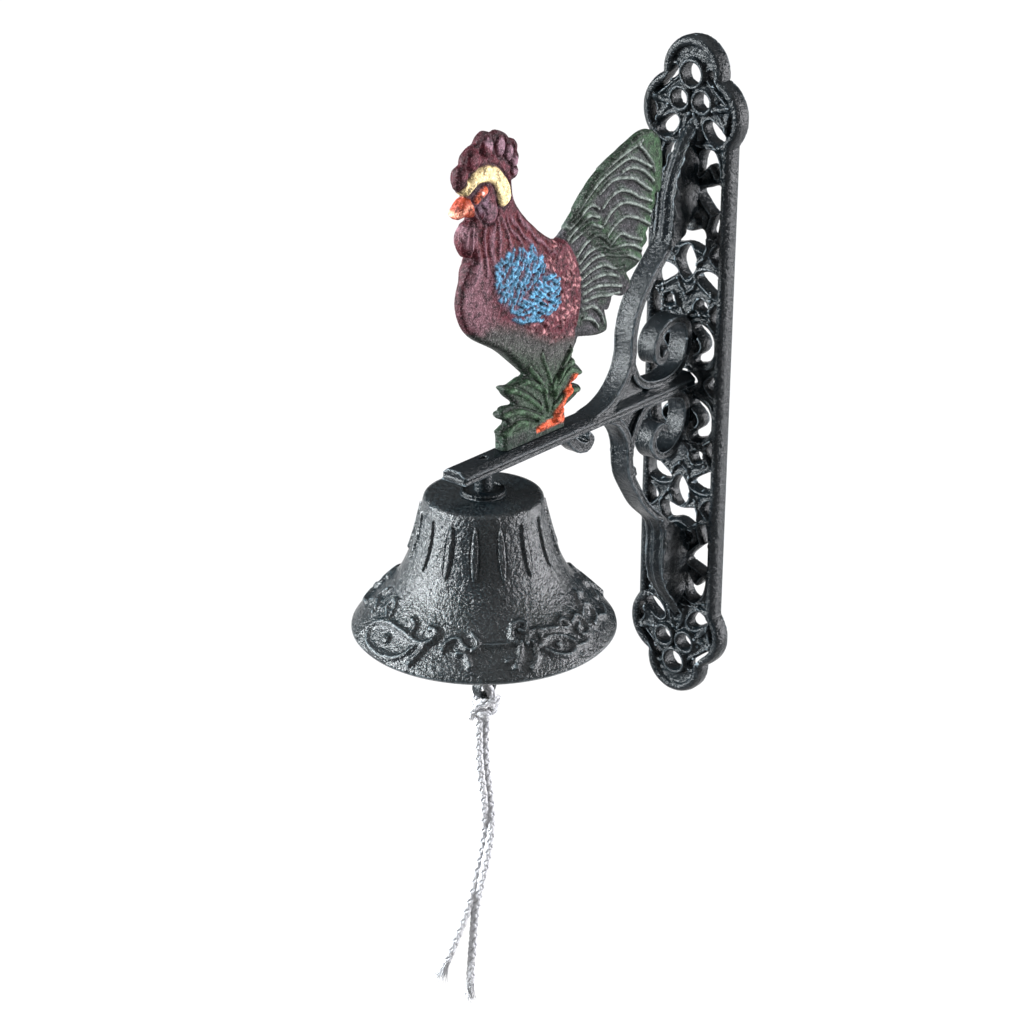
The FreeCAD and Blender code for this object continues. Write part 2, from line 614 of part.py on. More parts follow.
def rope_tube(name, points):
    """A round tube along the route; prints its length, radii and volume check."""
    path, radii = tube_path(points)
    direction = points[1] - points[0]
    section = Part.Wire([Part.makeCircle(ROPE_DIA / 2, points[0], direction)])
    tube = path.makePipeShell([section], True, False)
    expected = math.pi * ROPE_DIA ** 2 / 4 * path.Length
    print(name, "length", round(path.Length, 1), "radii", [round(r, 1) for r in radii],
          "volume ratio", round(tube.Volume / expected, 4))
    return tube


def rope_hitch():
    """The rope where it passes through the clapper's eye and comes down on both sides."""
    half = HITCH_HALF_WIDTH
    arch_z = TAIL_EYE_Z - half
    left_leg = Vector(-half, BELL_Y, arch_z)
    right_leg = Vector(half, BELL_Y, arch_z)
    path = Part.Wire([
        Part.makeLine(Vector(-half, BELL_Y, KNOT_TOP_Z), left_leg),
        Part.Arc(left_leg, Vector(0, BELL_Y, TAIL_EYE_Z), right_leg).toShape(),
        Part.makeLine(right_leg, Vector(half, BELL_Y, KNOT_TOP_Z)),
    ])
    section = Part.Wire([Part.makeCircle(ROPE_DIA / 2, path.Vertexes[0].Point, Vector(0, 0, 1))])
    return path.makePipeShell([section], True, False)


def rope_knot():
    """The knot that gathers the two legs into two strands side by side."""
    half = HITCH_HALF_WIDTH + ROPE_DIA / 2
    return Part.makeCone(KNOT_R, half, KNOT_LENGTH, Vector(0, BELL_Y, KNOT_TOP_Z - KNOT_LENGTH),
                         Vector(0, 0, 1))


def rope_end(points):
    """The frayed end of a strand, in line with its last run."""
    direction = points[-1] - points[-2]
    return Part.makeCone(ROPE_DIA / 2, ROPE_END_R, ROPE_END_LENGTH, points[-1], direction)


# ---- build -----------------------------------------------------------------------------------
save("wall_plate", wall_plate())
save("bracket", bracket())
save("bracket_screws", bracket_screws())
save("rooster", rooster())
save("rooster_screws", rooster_screws())

disc_top = BELL_TOP_Z + CROWN_DISC_THICK
washer_top = BELL_TOP_Z - BELL_WALL
save("hanger_bolt", hanger_bolt())
save("hanger_sleeve", washer(SLEEVE_R, HANGER_R, 0, -disc_top))
save("crown_disc", washer(CROWN_DISC_R, HANGER_R, disc_top, CROWN_DISC_THICK))
save("bell", bell())
save("bell_washer", washer(BELL_WASHER_R, HANGER_R, washer_top, BELL_WASHER_THICK))
save("bell_nut", bell_nut(washer_top - BELL_WASHER_THICK))

save("clapper_link", clapper_link())
save("clapper_rod", clapper_rod())
save("clapper_ball", clapper_ball())

strands = {"a": [rope_point(*p) for p in STRAND_A], "b": [rope_point(*p) for p in STRAND_B]}
save("rope_hitch", rope_hitch())
save("rope_knot", rope_knot())
for hand, route in strands.items():
    save("rope_strand_" + hand, rope_tube("rope_strand_" + hand, route))
    save("rope_end_" + hand, rope_end(route))
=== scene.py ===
import math

import bpy
import numpy as np
import openvdb
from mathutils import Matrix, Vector


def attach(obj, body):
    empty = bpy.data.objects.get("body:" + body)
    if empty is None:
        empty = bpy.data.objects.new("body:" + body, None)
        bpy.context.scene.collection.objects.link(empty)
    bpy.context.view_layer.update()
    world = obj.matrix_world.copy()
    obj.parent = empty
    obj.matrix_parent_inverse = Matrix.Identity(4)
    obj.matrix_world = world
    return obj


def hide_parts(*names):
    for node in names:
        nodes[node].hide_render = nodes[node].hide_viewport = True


# Looks of the wall mounted rooster bell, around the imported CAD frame.
# Shapes are worked out in millimetres and turned into metres when a mesh is made.

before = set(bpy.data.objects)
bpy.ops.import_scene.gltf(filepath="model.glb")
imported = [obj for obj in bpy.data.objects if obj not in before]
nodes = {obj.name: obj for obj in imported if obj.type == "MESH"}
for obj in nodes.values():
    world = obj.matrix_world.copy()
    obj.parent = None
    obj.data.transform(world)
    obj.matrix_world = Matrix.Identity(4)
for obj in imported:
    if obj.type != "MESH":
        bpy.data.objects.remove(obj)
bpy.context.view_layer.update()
scene = bpy.context.scene
MM = 0.001
random = np.random.default_rng(11)

# The bell's axis and the rope's plane, and the camera's place, direction and lens.
BELL_Y = -140.7
SWAY_AZIMUTH = math.radians(40.7)
VIEW_AZIMUTH = math.radians(40.718)
VIEW_ELEVATION = math.radians(23.641)
CAMERA_PLACE = (0.5790, -0.7956, 0.3641)
LENS_MM = 82.06


# ---- camera ----------------------------------------------------------------------------------
def add_camera():
    """The camera at the photographed angle."""
    data = bpy.data.cameras.new("camera")
    data.lens = LENS_MM
    data.sensor_width = 36
    data.clip_start = 0.05
    data.clip_end = 50
    camera = bpy.data.objects.new("camera", data)
    scene.collection.objects.link(camera)
    back = Vector((math.sin(VIEW_AZIMUTH) * math.cos(VIEW_ELEVATION),
                   -math.cos(VIEW_AZIMUTH) * math.cos(VIEW_ELEVATION), math.sin(VIEW_ELEVATION)))
    camera.location = CAMERA_PLACE
    camera.rotation_mode = "QUATERNION"
    camera.rotation_quaternion = (-back).to_track_quat("-Z", "Y")
    scene.camera = camera


add_camera()


# ---- meshes ----------------------------------------------------------------------------------
def add_piece(name, points, faces, material, smooth=True):
    """A mesh object from points in millimetres."""
    mesh = bpy.data.meshes.new(name)
    mesh.from_pydata((np.asarray(points) * MM).tolist(), [], faces)
    mesh.polygons.foreach_set("use_smooth", [smooth] * len(mesh.polygons))
    mesh.materials.append(material)
    mesh.update()
    piece = bpy.data.objects.new(name, mesh)
    scene.collection.objects.link(piece)
    return piece


def finish_piece(piece, body, slot, *stands_for):
    """Declares what a piece rides on and the CAD nodes it stands for; its slot is not used."""
    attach(piece, body)
    if stands_for:
        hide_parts(*stands_for)
    return piece


def field_surface(field, low, step, adaptivity):
    """Points in millimetres and faces of the surface where the field is zero."""
    band = 3 * step
    grid = openvdb.FloatGrid(band)
    grid.copyFromArray(np.clip(field, -band, band).astype(np.float32))
    points, triangles, quads = grid.convertToPolygons(isovalue=0.0, adaptivity=adaptivity)
    return points * step + np.array(low), quads.tolist() + triangles.tolist()


def smooth_line(points, steps=6, closed=False):
    """Points along a smooth curve that passes through the given points."""
    given = np.array(points, float)
    if closed:
        ext = np.vstack([given[-1:], given, given[:2]])
    else:
        ext = np.vstack([2 * given[0] - given[1], given, 2 * given[-1] - given[-2]])
    t = np.linspace(0, 1, steps, endpoint=False)[:, None]
    out = []
    for i in range(len(ext) - 3):
        a, b, c, d = ext[i:i + 4]
        out.append(0.5 * (2 * b + (c - a) * t + (2 * a - 5 * b + 4 * c - d) * t ** 2
                          + (3 * b - a - 3 * c + d) * t ** 3))
    out.append(given[:1] if closed else given[-1:])
    return np.vstack(out)


def lengths_along(points):
    """The distance along a line at each of its points."""
    return np.concatenate([[0], np.cumsum(np.linalg.norm(np.diff(points, axis=0), axis=1))])


def evenly(points, step):
    """The same line with its points about one step apart."""
    along = lengths_along(points)
    count = max(int(round(along[-1] / step)), 2)
    at = np.linspace(0, along[-1], count + 1)
    return np.stack([np.interp(at, along, column) for column in points.T], axis=1)


def unit(vectors):
    """The same vectors with a length of 1."""
    return vectors / np.linalg.norm(vectors, axis=-1, keepdims=True)


class Sheet:
    """A flat grid on which outlines and strokes are drawn as distances in millimetres."""

    def __init__(self, u_range, v_range, step):
        self.us = np.arange(u_range[0], u_range[1] + step / 2, step)
        self.vs = np.arange(v_range[0], v_range[1] + step / 2, step)
        self.step = step
        self.u, self.v = np.meshgrid(self.us, self.vs, indexing="ij")

    def window(self, points, reach):
        """The part of the grid within reach of the points, as index bounds."""
        low = np.min(points, axis=0) - reach
        high = np.max(points, axis=0) + reach
        i0, i1 = np.searchsorted(self.us, [low[0], high[0]])
        j0, j1 = np.searchsorted(self.vs, [low[1], high[1]])
        return slice(i0, i1), slice(j0, j1)

    def stroke(self, line, radius=0.0, reach=6.0):
        """Distance to a chain of runs less its radius, one number or one per point."""
        out = np.full(self.u.shape, reach)
        line = np.asarray(line, float)
        radii = np.broadcast_to(radius, (len(line),))
        for i in range(len(line) - 1):
            area = self.window(line[i:i + 2], reach + float(np.max(radii)))
            du, dv = line[i + 1] - line[i]
            u = self.u[area] - line[i][0]
            v = self.v[area] - line[i][1]
            t = np.clip((u * du + v * dv) / max(du * du + dv * dv, 1e-9), 0, 1)
            d = np.hypot(u - t * du, v - t * dv) - (radii[i] + t * (radii[i + 1] - radii[i]))
            out[area] = np.minimum(out[area], d)
        return out

    def outline(self, line, reach=6.0):
        """Signed distance to a closed outline, negative inside."""
        line = np.asarray(line, float)
        ring = np.vstack([line, line[:1]])
        distance = self.stroke(ring, 0.0, reach)
        area = self.window(line, 0.0)
        inside = np.zeros(self.u[area].shape, bool)
        for (au, av), (bu, bv) in zip(ring[:-1], ring[1:]):
            if av == bv:
                continue
            crosses = (av > self.v[area]) != (bv > self.v[area])
            at = au + (self.v[area] - av) * (bu - au) / (bv - av)
            inside ^= crosses & (self.u[area] < at)
        distance[area] = np.where(inside, -distance[area], distance[area])
        return distance

    def disc(self, centre, radius):
        """Signed distance to a circle, negative inside."""
        return np.hypot(self.u - centre[0], self.v - centre[1]) - radius

    def oval(self, centre, half_sizes):
        """1 on an oval's edge and less inside."""
        return np.hypot((self.u - centre[0]) / half_sizes[0], (self.v - centre[1]) / half_sizes[1])

    def sample(self, values, u, v):
        """Values of a map on the grid at points between its nodes."""
        a = np.clip((u - self.us[0]) / self.step, 0, len(self.us) - 1.001)
        b = np.clip((v - self.vs[0]) / self.step, 0, len(self.vs) - 1.001)
        i, j = a.astype(int), b.astype(int)
        fa, fb = a - i, b - j
        if values.ndim == 3:
            fa, fb = fa[:, None], fb[:, None]
        return (values[i, j] * (1 - fa) * (1 - fb) + values[i + 1, j] * fa * (1 - fb)
                + values[i, j + 1] * (1 - fa) * fb + values[i + 1, j + 1] * fa * fb)


def bead(distance, radius, height):
    """The height of a half-round bead at a distance from its middle line."""
    return height * np.sqrt(np.clip(1 - (distance / radius) ** 2, 0, 1))


def hump(distance, radius, height):
    """The height of a soft hump at a distance from its middle."""
    return height * np.exp(-(distance / radius) ** 2)


def soft_step(values, start, end):
    """0 at start, 1 at end, smooth between them."""
    t = np.clip((values - start) / (end - start), 0, 1)
    return t * t * (3 - 2 * t)


def quarter_round(distance, radius):
    """0 at an edge, rising along a quarter circle to 1 at the radius."""
    return np.sqrt(np.clip(1 - (1 - np.clip(distance / radius, 0, 1)) ** 2, 0, 1))


def blend_min(a, b, width):
    """The union of two distances with a fillet of about the given width."""
    h = np.clip(0.5 + 0.5 * (b - a) / width, 0, 1)
    return b * (1 - h) + a * h - width * h * (1 - h)


def box_join(flat, across):
    """Distance to a flat shape's slab from its two distances, with square edges."""
    return np.minimum(np.maximum(flat, across), 0) + np.hypot(np.maximum(flat, 0), np.maximum(across, 0))


# ---- materials -------------------------------------------------------------------------------
class Material:
    """A node material with a Principled shader and a few helpers for its nodes."""

    def __init__(self, name, **constants):
        self.data = bpy.data.materials.new(name)
        self.data.use_nodes = True
        self.tree = self.data.node_tree
        self.shader = self.tree.nodes["Principled BSDF"]
        for key, value in constants.items():
            self.shader.inputs[key.replace("_", " ")].default_value = value
        self.place = self.tree.nodes.new("ShaderNodeTexCoord").outputs["Object"]

    def link(self, source, target):
        self.tree.links.new(source, target)

    def noise(self, scale, detail=2.0, rough=0.5, warp=0.0):
        node = self.tree.nodes.new("ShaderNodeTexNoise")
        node.inputs["Scale"].default_value = scale
        node.inputs["Detail"].default_value = detail
        node.inputs["Roughness"].default_value = rough
        node.inputs["Distortion"].default_value = warp
        self.link(self.place, node.inputs["Vector"])
        return node.outputs["Fac"]

    def ramp(self, factor, stops):
        node = self.tree.nodes.new("ShaderNodeValToRGB")
        elements = node.color_ramp.elements
        while len(elements) < len(stops):
            elements.new(0.5)
        for element, (at, colour) in zip(elements, stops):
            element.position = at
            element.color = (*colour, 1)
        self.link(factor, node.inputs["Fac"])
        return node.outputs["Color"]

    def grey(self, factor, low, high, from_low=0.3, from_high=0.7):
        node = self.tree.nodes.new("ShaderNodeMapRange")
        limits = {"From Min": from_low, "From Max": from_high, "To Min": low, "To Max": high}
        for key, value in limits.items():
            node.inputs[key].default_value = value
        self.link(factor, node.inputs["Value"])
        return node.outputs["Result"]

    def mix(self, factor, a, b, how="MIX"):
        node = self.tree.nodes.new("ShaderNodeMix")
        node.data_type = "RGBA"
        node.blend_type = how
        for socket, value in ((node.inputs[0], factor), (node.inputs[6], a), (node.inputs[7], b)):
            if isinstance(value, bpy.types.NodeSocket):
                self.link(value, socket)
            elif isinstance(value, (int, float)):
                socket.default_value = value
            else:
                socket.default_value = (*value, 1)
        return node.outputs[2]

    def math(self, how, a, b):
        node = self.tree.nodes.new("ShaderNodeMath")
        node.operation = how
        for socket, value in zip(node.inputs, (a, b)):
            if isinstance(value, bpy.types.NodeSocket):
                self.link(value, socket)
            else:
                socket.default_value = value
        return node.outputs[0]

    def bumps(self, *layers):
        """Bump layers of (height, distance in metres, strength), the first one outermost."""
        normal = None
        for height, distance, strength in layers:
            node = self.tree.nodes.new("ShaderNodeBump")
            node.inputs["Strength"].default_value = strength
            node.inputs["Distance"].default_value = distance
            self.link(height, node.inputs["Height"])
            if normal is not None:
                self.link(normal, node.inputs["Normal"])
            normal = node.outputs["Normal"]
        self.link(normal, self.shader.inputs["Normal"])

    def edges(self, low, high):
        """0 in hollows and on flats, 1 on sharp edges."""
        node = self.tree.nodes.new("ShaderNodeNewGeometry")
        return self.grey(node.outputs["Pointiness"], 0.0, 1.0, low, high)

    def out(self, socket, name):
        self.link(socket, self.shader.inputs[name])
        return self.data


def iron_material(name, grain, dark, pale, edge, shine, rough_low, rough_high, bump):
    """Cast iron under satin paint: a sand-cast grain that catches the light, with pale specks that are partly
    painted glints, and paler edges that are partly wear and partly a painted highlight.
    """
    m = Material(name, Specular_IOR_Level=shine)
    fine = m.noise(grain, 3, 0.6)
    coarse = m.noise(grain * 0.37, 2, 0.5, 0.4)
    drift = m.noise(60, 2, 0.5)
    # Painted light: the grain's pale specks are partly painted glints.
    base = m.ramp(fine, [(0.47, dark), (0.64, pale)])
    base = m.mix(m.grey(drift, 0.0, 0.5), base, (dark[0] * 0.8, dark[1] * 1.15, dark[2] * 0.95))
    # Paler edges, partly wear and partly a painted highlight along the edges.
    pale_edges = m.math("MULTIPLY", m.edges(0.53, 0.60), m.grey(coarse, 0.25, 1.0))
    m.out(m.mix(pale_edges, base, edge), "Base Color")
    m.out(m.grey(coarse, rough_low, rough_high), "Roughness")
    m.bumps((coarse, 0.0011, bump), (fine, 0.0006, bump))
    return m.data


# Painted light in the iron: the pale grain specks are partly painted glints, and the pale edge colours are
# partly wear and partly a painted highlight; plain_iron's edges stay dark.
IRON_BLACK = (0.001, 0.002, 0.003)
iron = iron_material("iron", 1400, IRON_BLACK, pale=(0.005, 0.007, 0.009), edge=(0.14, 0.17, 0.19),
                     shine=0.15, rough_low=0.14, rough_high=0.28, bump=0.6)
bell_iron = iron_material("bell_iron", 1150, IRON_BLACK, pale=(0.014, 0.020, 0.023), edge=(0.10, 0.13, 0.145),
                          shine=0.28, rough_low=0.14, rough_high=0.28, bump=0.75)
plain_iron = iron_material("plain_iron", 1400, IRON_BLACK, pale=(0.006, 0.008, 0.010),
                           edge=(0.008, 0.011, 0.013), shine=0.2, rough_low=0.18, rough_high=0.32, bump=0.5)


def rooster_material():
    """Hand-laid enamel over the casting: the colours, with their painted shade and highlights, lie in the
    mesh; the grain, its pale specks of painted sheen, and the wear are here.
    """
    m = Material("rooster_enamel", Specular_IOR_Level=0.07)
    node = m.tree.nodes.new("ShaderNodeAttribute")
    node.attribute_name = "paint"
    paint = node.outputs["Color"]
    fine = m.noise(1350, 3, 0.6)
    broad = m.noise(420, 3, 0.6, 0.5)
    shaded = m.mix(m.grey(broad, 0.0, 0.95, 0.35, 0.62), paint, m.mix(0.85, paint, (0.0, 0.0, 0.0)))
    doubled = m.mix(1.0, paint, paint, "ADD")
    # Painted sheen: pale specks over the enamel's grain.
    sheen_specked = m.mix(m.grey(fine, 0.0, 0.6, 0.53, 0.66), shaded, m.mix(0.22, doubled, (0.34, 0.27, 0.31)))
    pale_edges = m.math("MULTIPLY", m.edges(0.53, 0.62), m.grey(broad, 0.2, 0.8))
    m.out(m.mix(pale_edges, sheen_specked, m.mix(0.3, doubled, (0.30, 0.28, 0.29))), "Base Color")
    m.out(m.grey(broad, 0.38, 0.55), "Roughness")
    m.bumps((broad, 0.0012, 0.6), (fine, 0.0006, 0.7))
    return m.data


def metal_material(name, colour, dull, rough):
    """Plain steel or zinc hardware with fine turning marks and a duller bloom."""
    m = Material(name, Metallic=1.0)
    streaks = m.noise(900, 4, 0.6, 1.0)
    bloom = m.noise(220, 3, 0.6)
    m.out(m.mix(m.grey(bloom, 0.0, 0.8), colour, dull), "Base Color")
    m.out(m.grey(streaks, rough - 0.08, rough + 0.12), "Roughness")
    m.bumps((streaks, 0.0002, 0.4))
    return m.data


def cotton_material():
    """Undyed cotton yarn: matt, with fine twisted fibres and painted shade in the hollows."""
    m = Material("cotton", Roughness=0.92, Sheen_Weight=0.35, Sheen_Roughness=0.5, Subsurface_Weight=0.7,
                 Subsurface_Radius=(1.0, 0.95, 0.9), Subsurface_Scale=0.003)
    fibre = m.noise(2600, 4, 0.7, 1.2)
    soil = m.noise(260, 3, 0.55)
    base = m.ramp(fibre, [(0.3, (0.33, 0.33, 0.35)), (0.62, (0.46, 0.46, 0.48))])
    # Painted shade: the yarn is darker in its hollows.
    hollow_shade = m.math("SUBTRACT", 1.0, m.edges(0.40, 0.50))
    base = m.mix(m.math("MULTIPLY", hollow_shade, 0.65), base, (0.20, 0.20, 0.22))
    m.out(m.mix(m.grey(soil, 0.0, 0.18), base, (0.46, 0.44, 0.42)), "Base Color")
    m.bumps((fibre, 0.0003, 0.6))
    return m.data


enamel = rooster_material()
dark_steel = metal_material("dark_steel", (0.16, 0.165, 0.17), (0.05, 0.052, 0.055), 0.42)
zinc = metal_material("zinc", (0.62, 0.63, 0.64), (0.36, 0.36, 0.36), 0.34)
cotton = cotton_material()


# ---- the pull rope ---------------------------------------------------------------------------
def beside(across, toward, z):
    """A point beside the bell's axis, in the vertical plane that the two strands hang in, in metres."""
    return (MM * (across * math.cos(SWAY_AZIMUTH) + toward * math.sin(SWAY_AZIMUTH)),
            MM * (BELL_Y + across * math.sin(SWAY_AZIMUTH) - toward * math.cos(SWAY_AZIMUTH)), MM * z)


# Each strand's route from the knot to its cut end as (across, toward, z).
STRAND_A = [(-2.2, 0.2, -111.0), (-2.9, 0.9, -122), (-2.4, 1.2, -138), (-0.2, 0.6, -156),
            (-0.4, -0.8, -173), (-3.7, -0.9, -191), (-7.2, 0.4, -207), (-12.3, 0.9, -222),
            (-17.6, 0.2, -237)]
STRAND_B = [(1.0, -0.2, -111.0), (0.0, -0.6, -122), (0.4, -0.6, -138), (2.6, -0.8, -156),
            (2.4, 0.7, -173), (-0.9, 0.9, -191), (-4.2, -0.5, -207), (-5.1, -1.2, -221),
            (-6.1, -0.9, -235), (-6.9, -0.2, -248)]
# The hitch through the clapper's eye as (x, y from the bell's axis, z).
EYE_ARCH = [(-2.6, -1.5, -109.1), (-4.4, -0.3, -105.6), (-4.2, 0, -101.8), (-2.2, 0, -99.0), (0, 0, -98.3),
            (2.2, 0, -99.0), (4.2, 0, -101.8), (4.4, 0.3, -105.6), (2.4, 1.5, -109.1)]
# The knot's two turns as (across, toward, z).
KNOT_WRAP = [(-6.0, 2.6, -112.6), (-5.0, 3.3, -109.0), (-2.8, 4.0, -105.4), (0.6, 4.3, -104.6),
             (4.6, 2.6, -104.2), (5.4, -0.9, -105.6), (1.2, -4.1, -107.0), (-3.9, -2.6, -107.8),
             (-4.9, 0.9, -108.2), (-2.0, 3.8, -109.2), (1.2, 3.2, -110.2), (1.1, -0.2, -113.0)]
KNOT_UNDER = [(3.8, -1.6, -106.0), (4.2, 1.2, -108.6), (1.4, 2.2, -110.4), (-1.9, 1.0, -111.0),
              (-2.3, 0.2, -113.6)]


def spline_points(name, points, step):
    """Evenly spaced points, in metres, read from the NURBS spline that the points control."""
    curve = bpy.data.curves.new(name, "CURVE")
    curve.dimensions = "3D"
    curve.resolution_u = 16
    line = curve.splines.new("NURBS")
    line.points.add(len(points) - 1)
    for control, point in zip(line.points, points):
        control.co = (*point, 1)
    line.order_u = 3
    line.use_endpoint_u = True
    holder = bpy.data.objects.new(name, curve)
    scene.collection.objects.link(holder)
    mesh = bpy.data.meshes.new_from_object(holder.evaluated_get(bpy.context.evaluated_depsgraph_get()))
    found = np.array([v.co for v in mesh.vertices], float)
    bpy.data.objects.remove(holder)
    bpy.data.curves.remove(curve)
    bpy.data.meshes.remove(mesh)
    return evenly(found, step)


def frames_along(path):
    """Two normals at each point that do not twist along the path."""
    tangents = unit(np.gradient(path, axis=0))
    normals = [unit(np.cross(tangents[0], [0.3, 0.9, 0.2]))]
    for tangent in tangents[1:]:
        normals.append(unit(normals[-1] - tangent * np.dot(normals[-1], tangent)))
    normals = np.array(normals)
    return normals, np.cross(tangents, normals)


def tube(points, faces, centres, sides_a, sides_b, wide, thick, sides=8, plies=0):
    """Adds a tube of oval section to the lists; plies twist round it as shallow lobes."""
    start = sum(len(p) for p in points)
    turns = np.linspace(0, 2 * math.pi, sides, endpoint=False)
    along = lengths_along(centres)
    lobes = 1 + 0.10 * np.cos(plies * (turns[None, :] - along[:, None] * 2.2)) if plies else 1.0
    a = np.cos(turns)[None, :] * np.broadcast_to(wide, (len(centres),))[:, None] * lobes
    b = np.sin(turns)[None, :] * np.broadcast_to(thick, (len(centres),))[:, None] * lobes
    points.append((centres[:, None, :] + a[..., None] * sides_a[:, None, :]
                   + b[..., None] * sides_b[:, None, :]).reshape(-1, 3))
    last = len(centres) - 1
    for i in range(last):
        for j in range(sides):
            k = (j + 1) % sides
            faces.append((start + i * sides + j, start + i * sides + k,
                          start + (i + 1) * sides + k, start + (i + 1) * sides + j))
    faces.append(tuple(start + j for j in reversed(range(sides))))
    faces.append(tuple(start + last * sides + j for j in range(sides)))


def braid(name, paths, radius=1.32, pitch=21.0, wide=1.02, thick=0.62):
    """A round braid of eight yarns along each path, in one piece.  Paths are in millimetres."""
    points, faces = [], []
    for path in paths:
        normals, sides = frames_along(path)
        phase = 2 * math.pi * lengths_along(path) / pitch
        for hand in (1, -1):
            for k in range(4):
                turn = hand * phase + math.pi / 2 * k
                reach = radius + hand * 0.26 * np.cos(4 * phase)
                outward = np.cos(turn)[:, None] * normals + np.sin(turn)[:, None] * sides
                centres = path + outward * reach[:, None]
                run = unit(np.gradient(centres, axis=0))
                flat = unit(np.cross(run, outward))
                tube(points, faces, centres, flat, np.cross(flat, run), wide, thick, 10, 3)
    return add_piece(name, np.vstack(points), faces, cotton)


def frayed_end(name, path):
    """The loose fibres at a strand's cut end."""
    tip = path[-1]
    run = unit(path[-1] - path[-5])
    side_a = unit(np.cross(run, [0.2, 0.1, 0.97]))
    side_b = np.cross(run, side_a)
    points, faces = [], []
    for _ in range(150):
        turn = random.uniform(0, 2 * math.pi)
        out = 1.7 * math.sqrt(random.uniform(0, 1))
        length = random.uniform(6.5, 12.5)
        splay = random.uniform(0.02, 0.16) * out
        t = np.linspace(-2.0, length, 9)[:, None]
        radial = math.cos(turn) * side_a + math.sin(turn) * side_b
        drift = random.normal(0, 0.022, 3)
        wave = 0.22 * np.sin(t * random.uniform(0.5, 1.1) + turn) * np.cross(run, radial)
        grow = np.clip(t / length, 0, 1)
        line = (tip + run * t + radial * (out + splay * t * grow) + drift * t * t * 0.35 + wave)
        normals, sides = frames_along(line)
        tube(points, faces, line, normals, sides, np.linspace(0.27, 0.09, 9), np.linspace(0.27, 0.09, 9), 4)
    return add_piece(name, np.vstack(points), faces, cotton)


def add_rope():
    """The two strands, their frayed ends, the hitch through the clapper's eye and the knot."""
    def turns(points):
        return evenly(smooth_line([np.array(beside(*point)) / MM for point in points], 12), 0.5)

    arch = evenly(smooth_line([(x, BELL_Y + y, z) for x, y, z in EYE_ARCH], 12), 0.5)
    hitch = braid("hitch", [arch], 1.2, 19, 0.95, 0.58)
    finish_piece(hitch, "rope", "cotton_rope", "rope_hitch")
    knot = braid("knot", [turns(KNOT_WRAP), turns(KNOT_UNDER)], 1.2, 19, 0.95, 0.58)
    finish_piece(knot, "rope", "cotton_rope", "rope_knot")
    for hand, route in (("a", STRAND_A), ("b", STRAND_B)):
        metres = spline_points("route_" + hand, [beside(*p) for p in route], 0.0006)
        path = metres / MM
        strand = braid("strand_" + hand, [path])
        finish_piece(strand, "rope", "cotton_rope", "rope_strand_" + hand)
        end = frayed_end("frayed_end_" + hand, path)
        finish_piece(end, "rope", "cotton_rope", "rope_end_" + hand)


add_rope()


# ---- the bell --------------------------------------------------------------------------------
# The bell's outer profile as (radius, height), and its flutes.
BELL_PROFILE = [(2.0, -10.0), (8.0, -10.0), (14.0, -10.0), (20.0, -10.0), (22.6, -10.0), (24.2, -10.7),
                (24.9, -12.5), (25.8, -17.0), (26.9, -21.6), (29.2, -30.2), (32.3, -39.0), (36.6, -47.0),
                (43.0, -54.5), (49.3, -61.0), (53.6, -65.6), (55.2, -68.5)]
RIBS = 16
RIB_TURN = 0.989
RIB_TOP_Z = -15.0
RIB_TALL = 21.0
RIB_HALF_WIDTH = 0.135


def turned_points(profile, angles, relief=None):
    """Points of a profile turned about the bell's axis, pushed outward by the relief."""
    run = unit(np.gradient(profile, axis=0))
    r = profile[:, 0][:, None] * np.ones(len(angles))
    z = profile[:, 1][:, None] * np.ones(len(angles))
    if relief is not None:
        r = r - run[:, 1][:, None] * relief
        z = z + run[:, 0][:, None] * relief
    x = r * np.sin(angles)
    y = BELL_Y - r * np.cos(angles)
    return np.stack([x, y, z], axis=2)


def grid_faces(rows, columns, start=0):
    """Faces of a grid that closes on itself round its columns."""
    i, j = np.meshgrid(np.arange(rows - 1), np.arange(columns), indexing="ij")
    k = (j + 1) % columns
    quads = np.stack([i * columns + j, (i + 1) * columns + j, (i + 1) * columns + k, i * columns + k], axis=2)
    return (quads.reshape(-1, 4) + start).tolist()


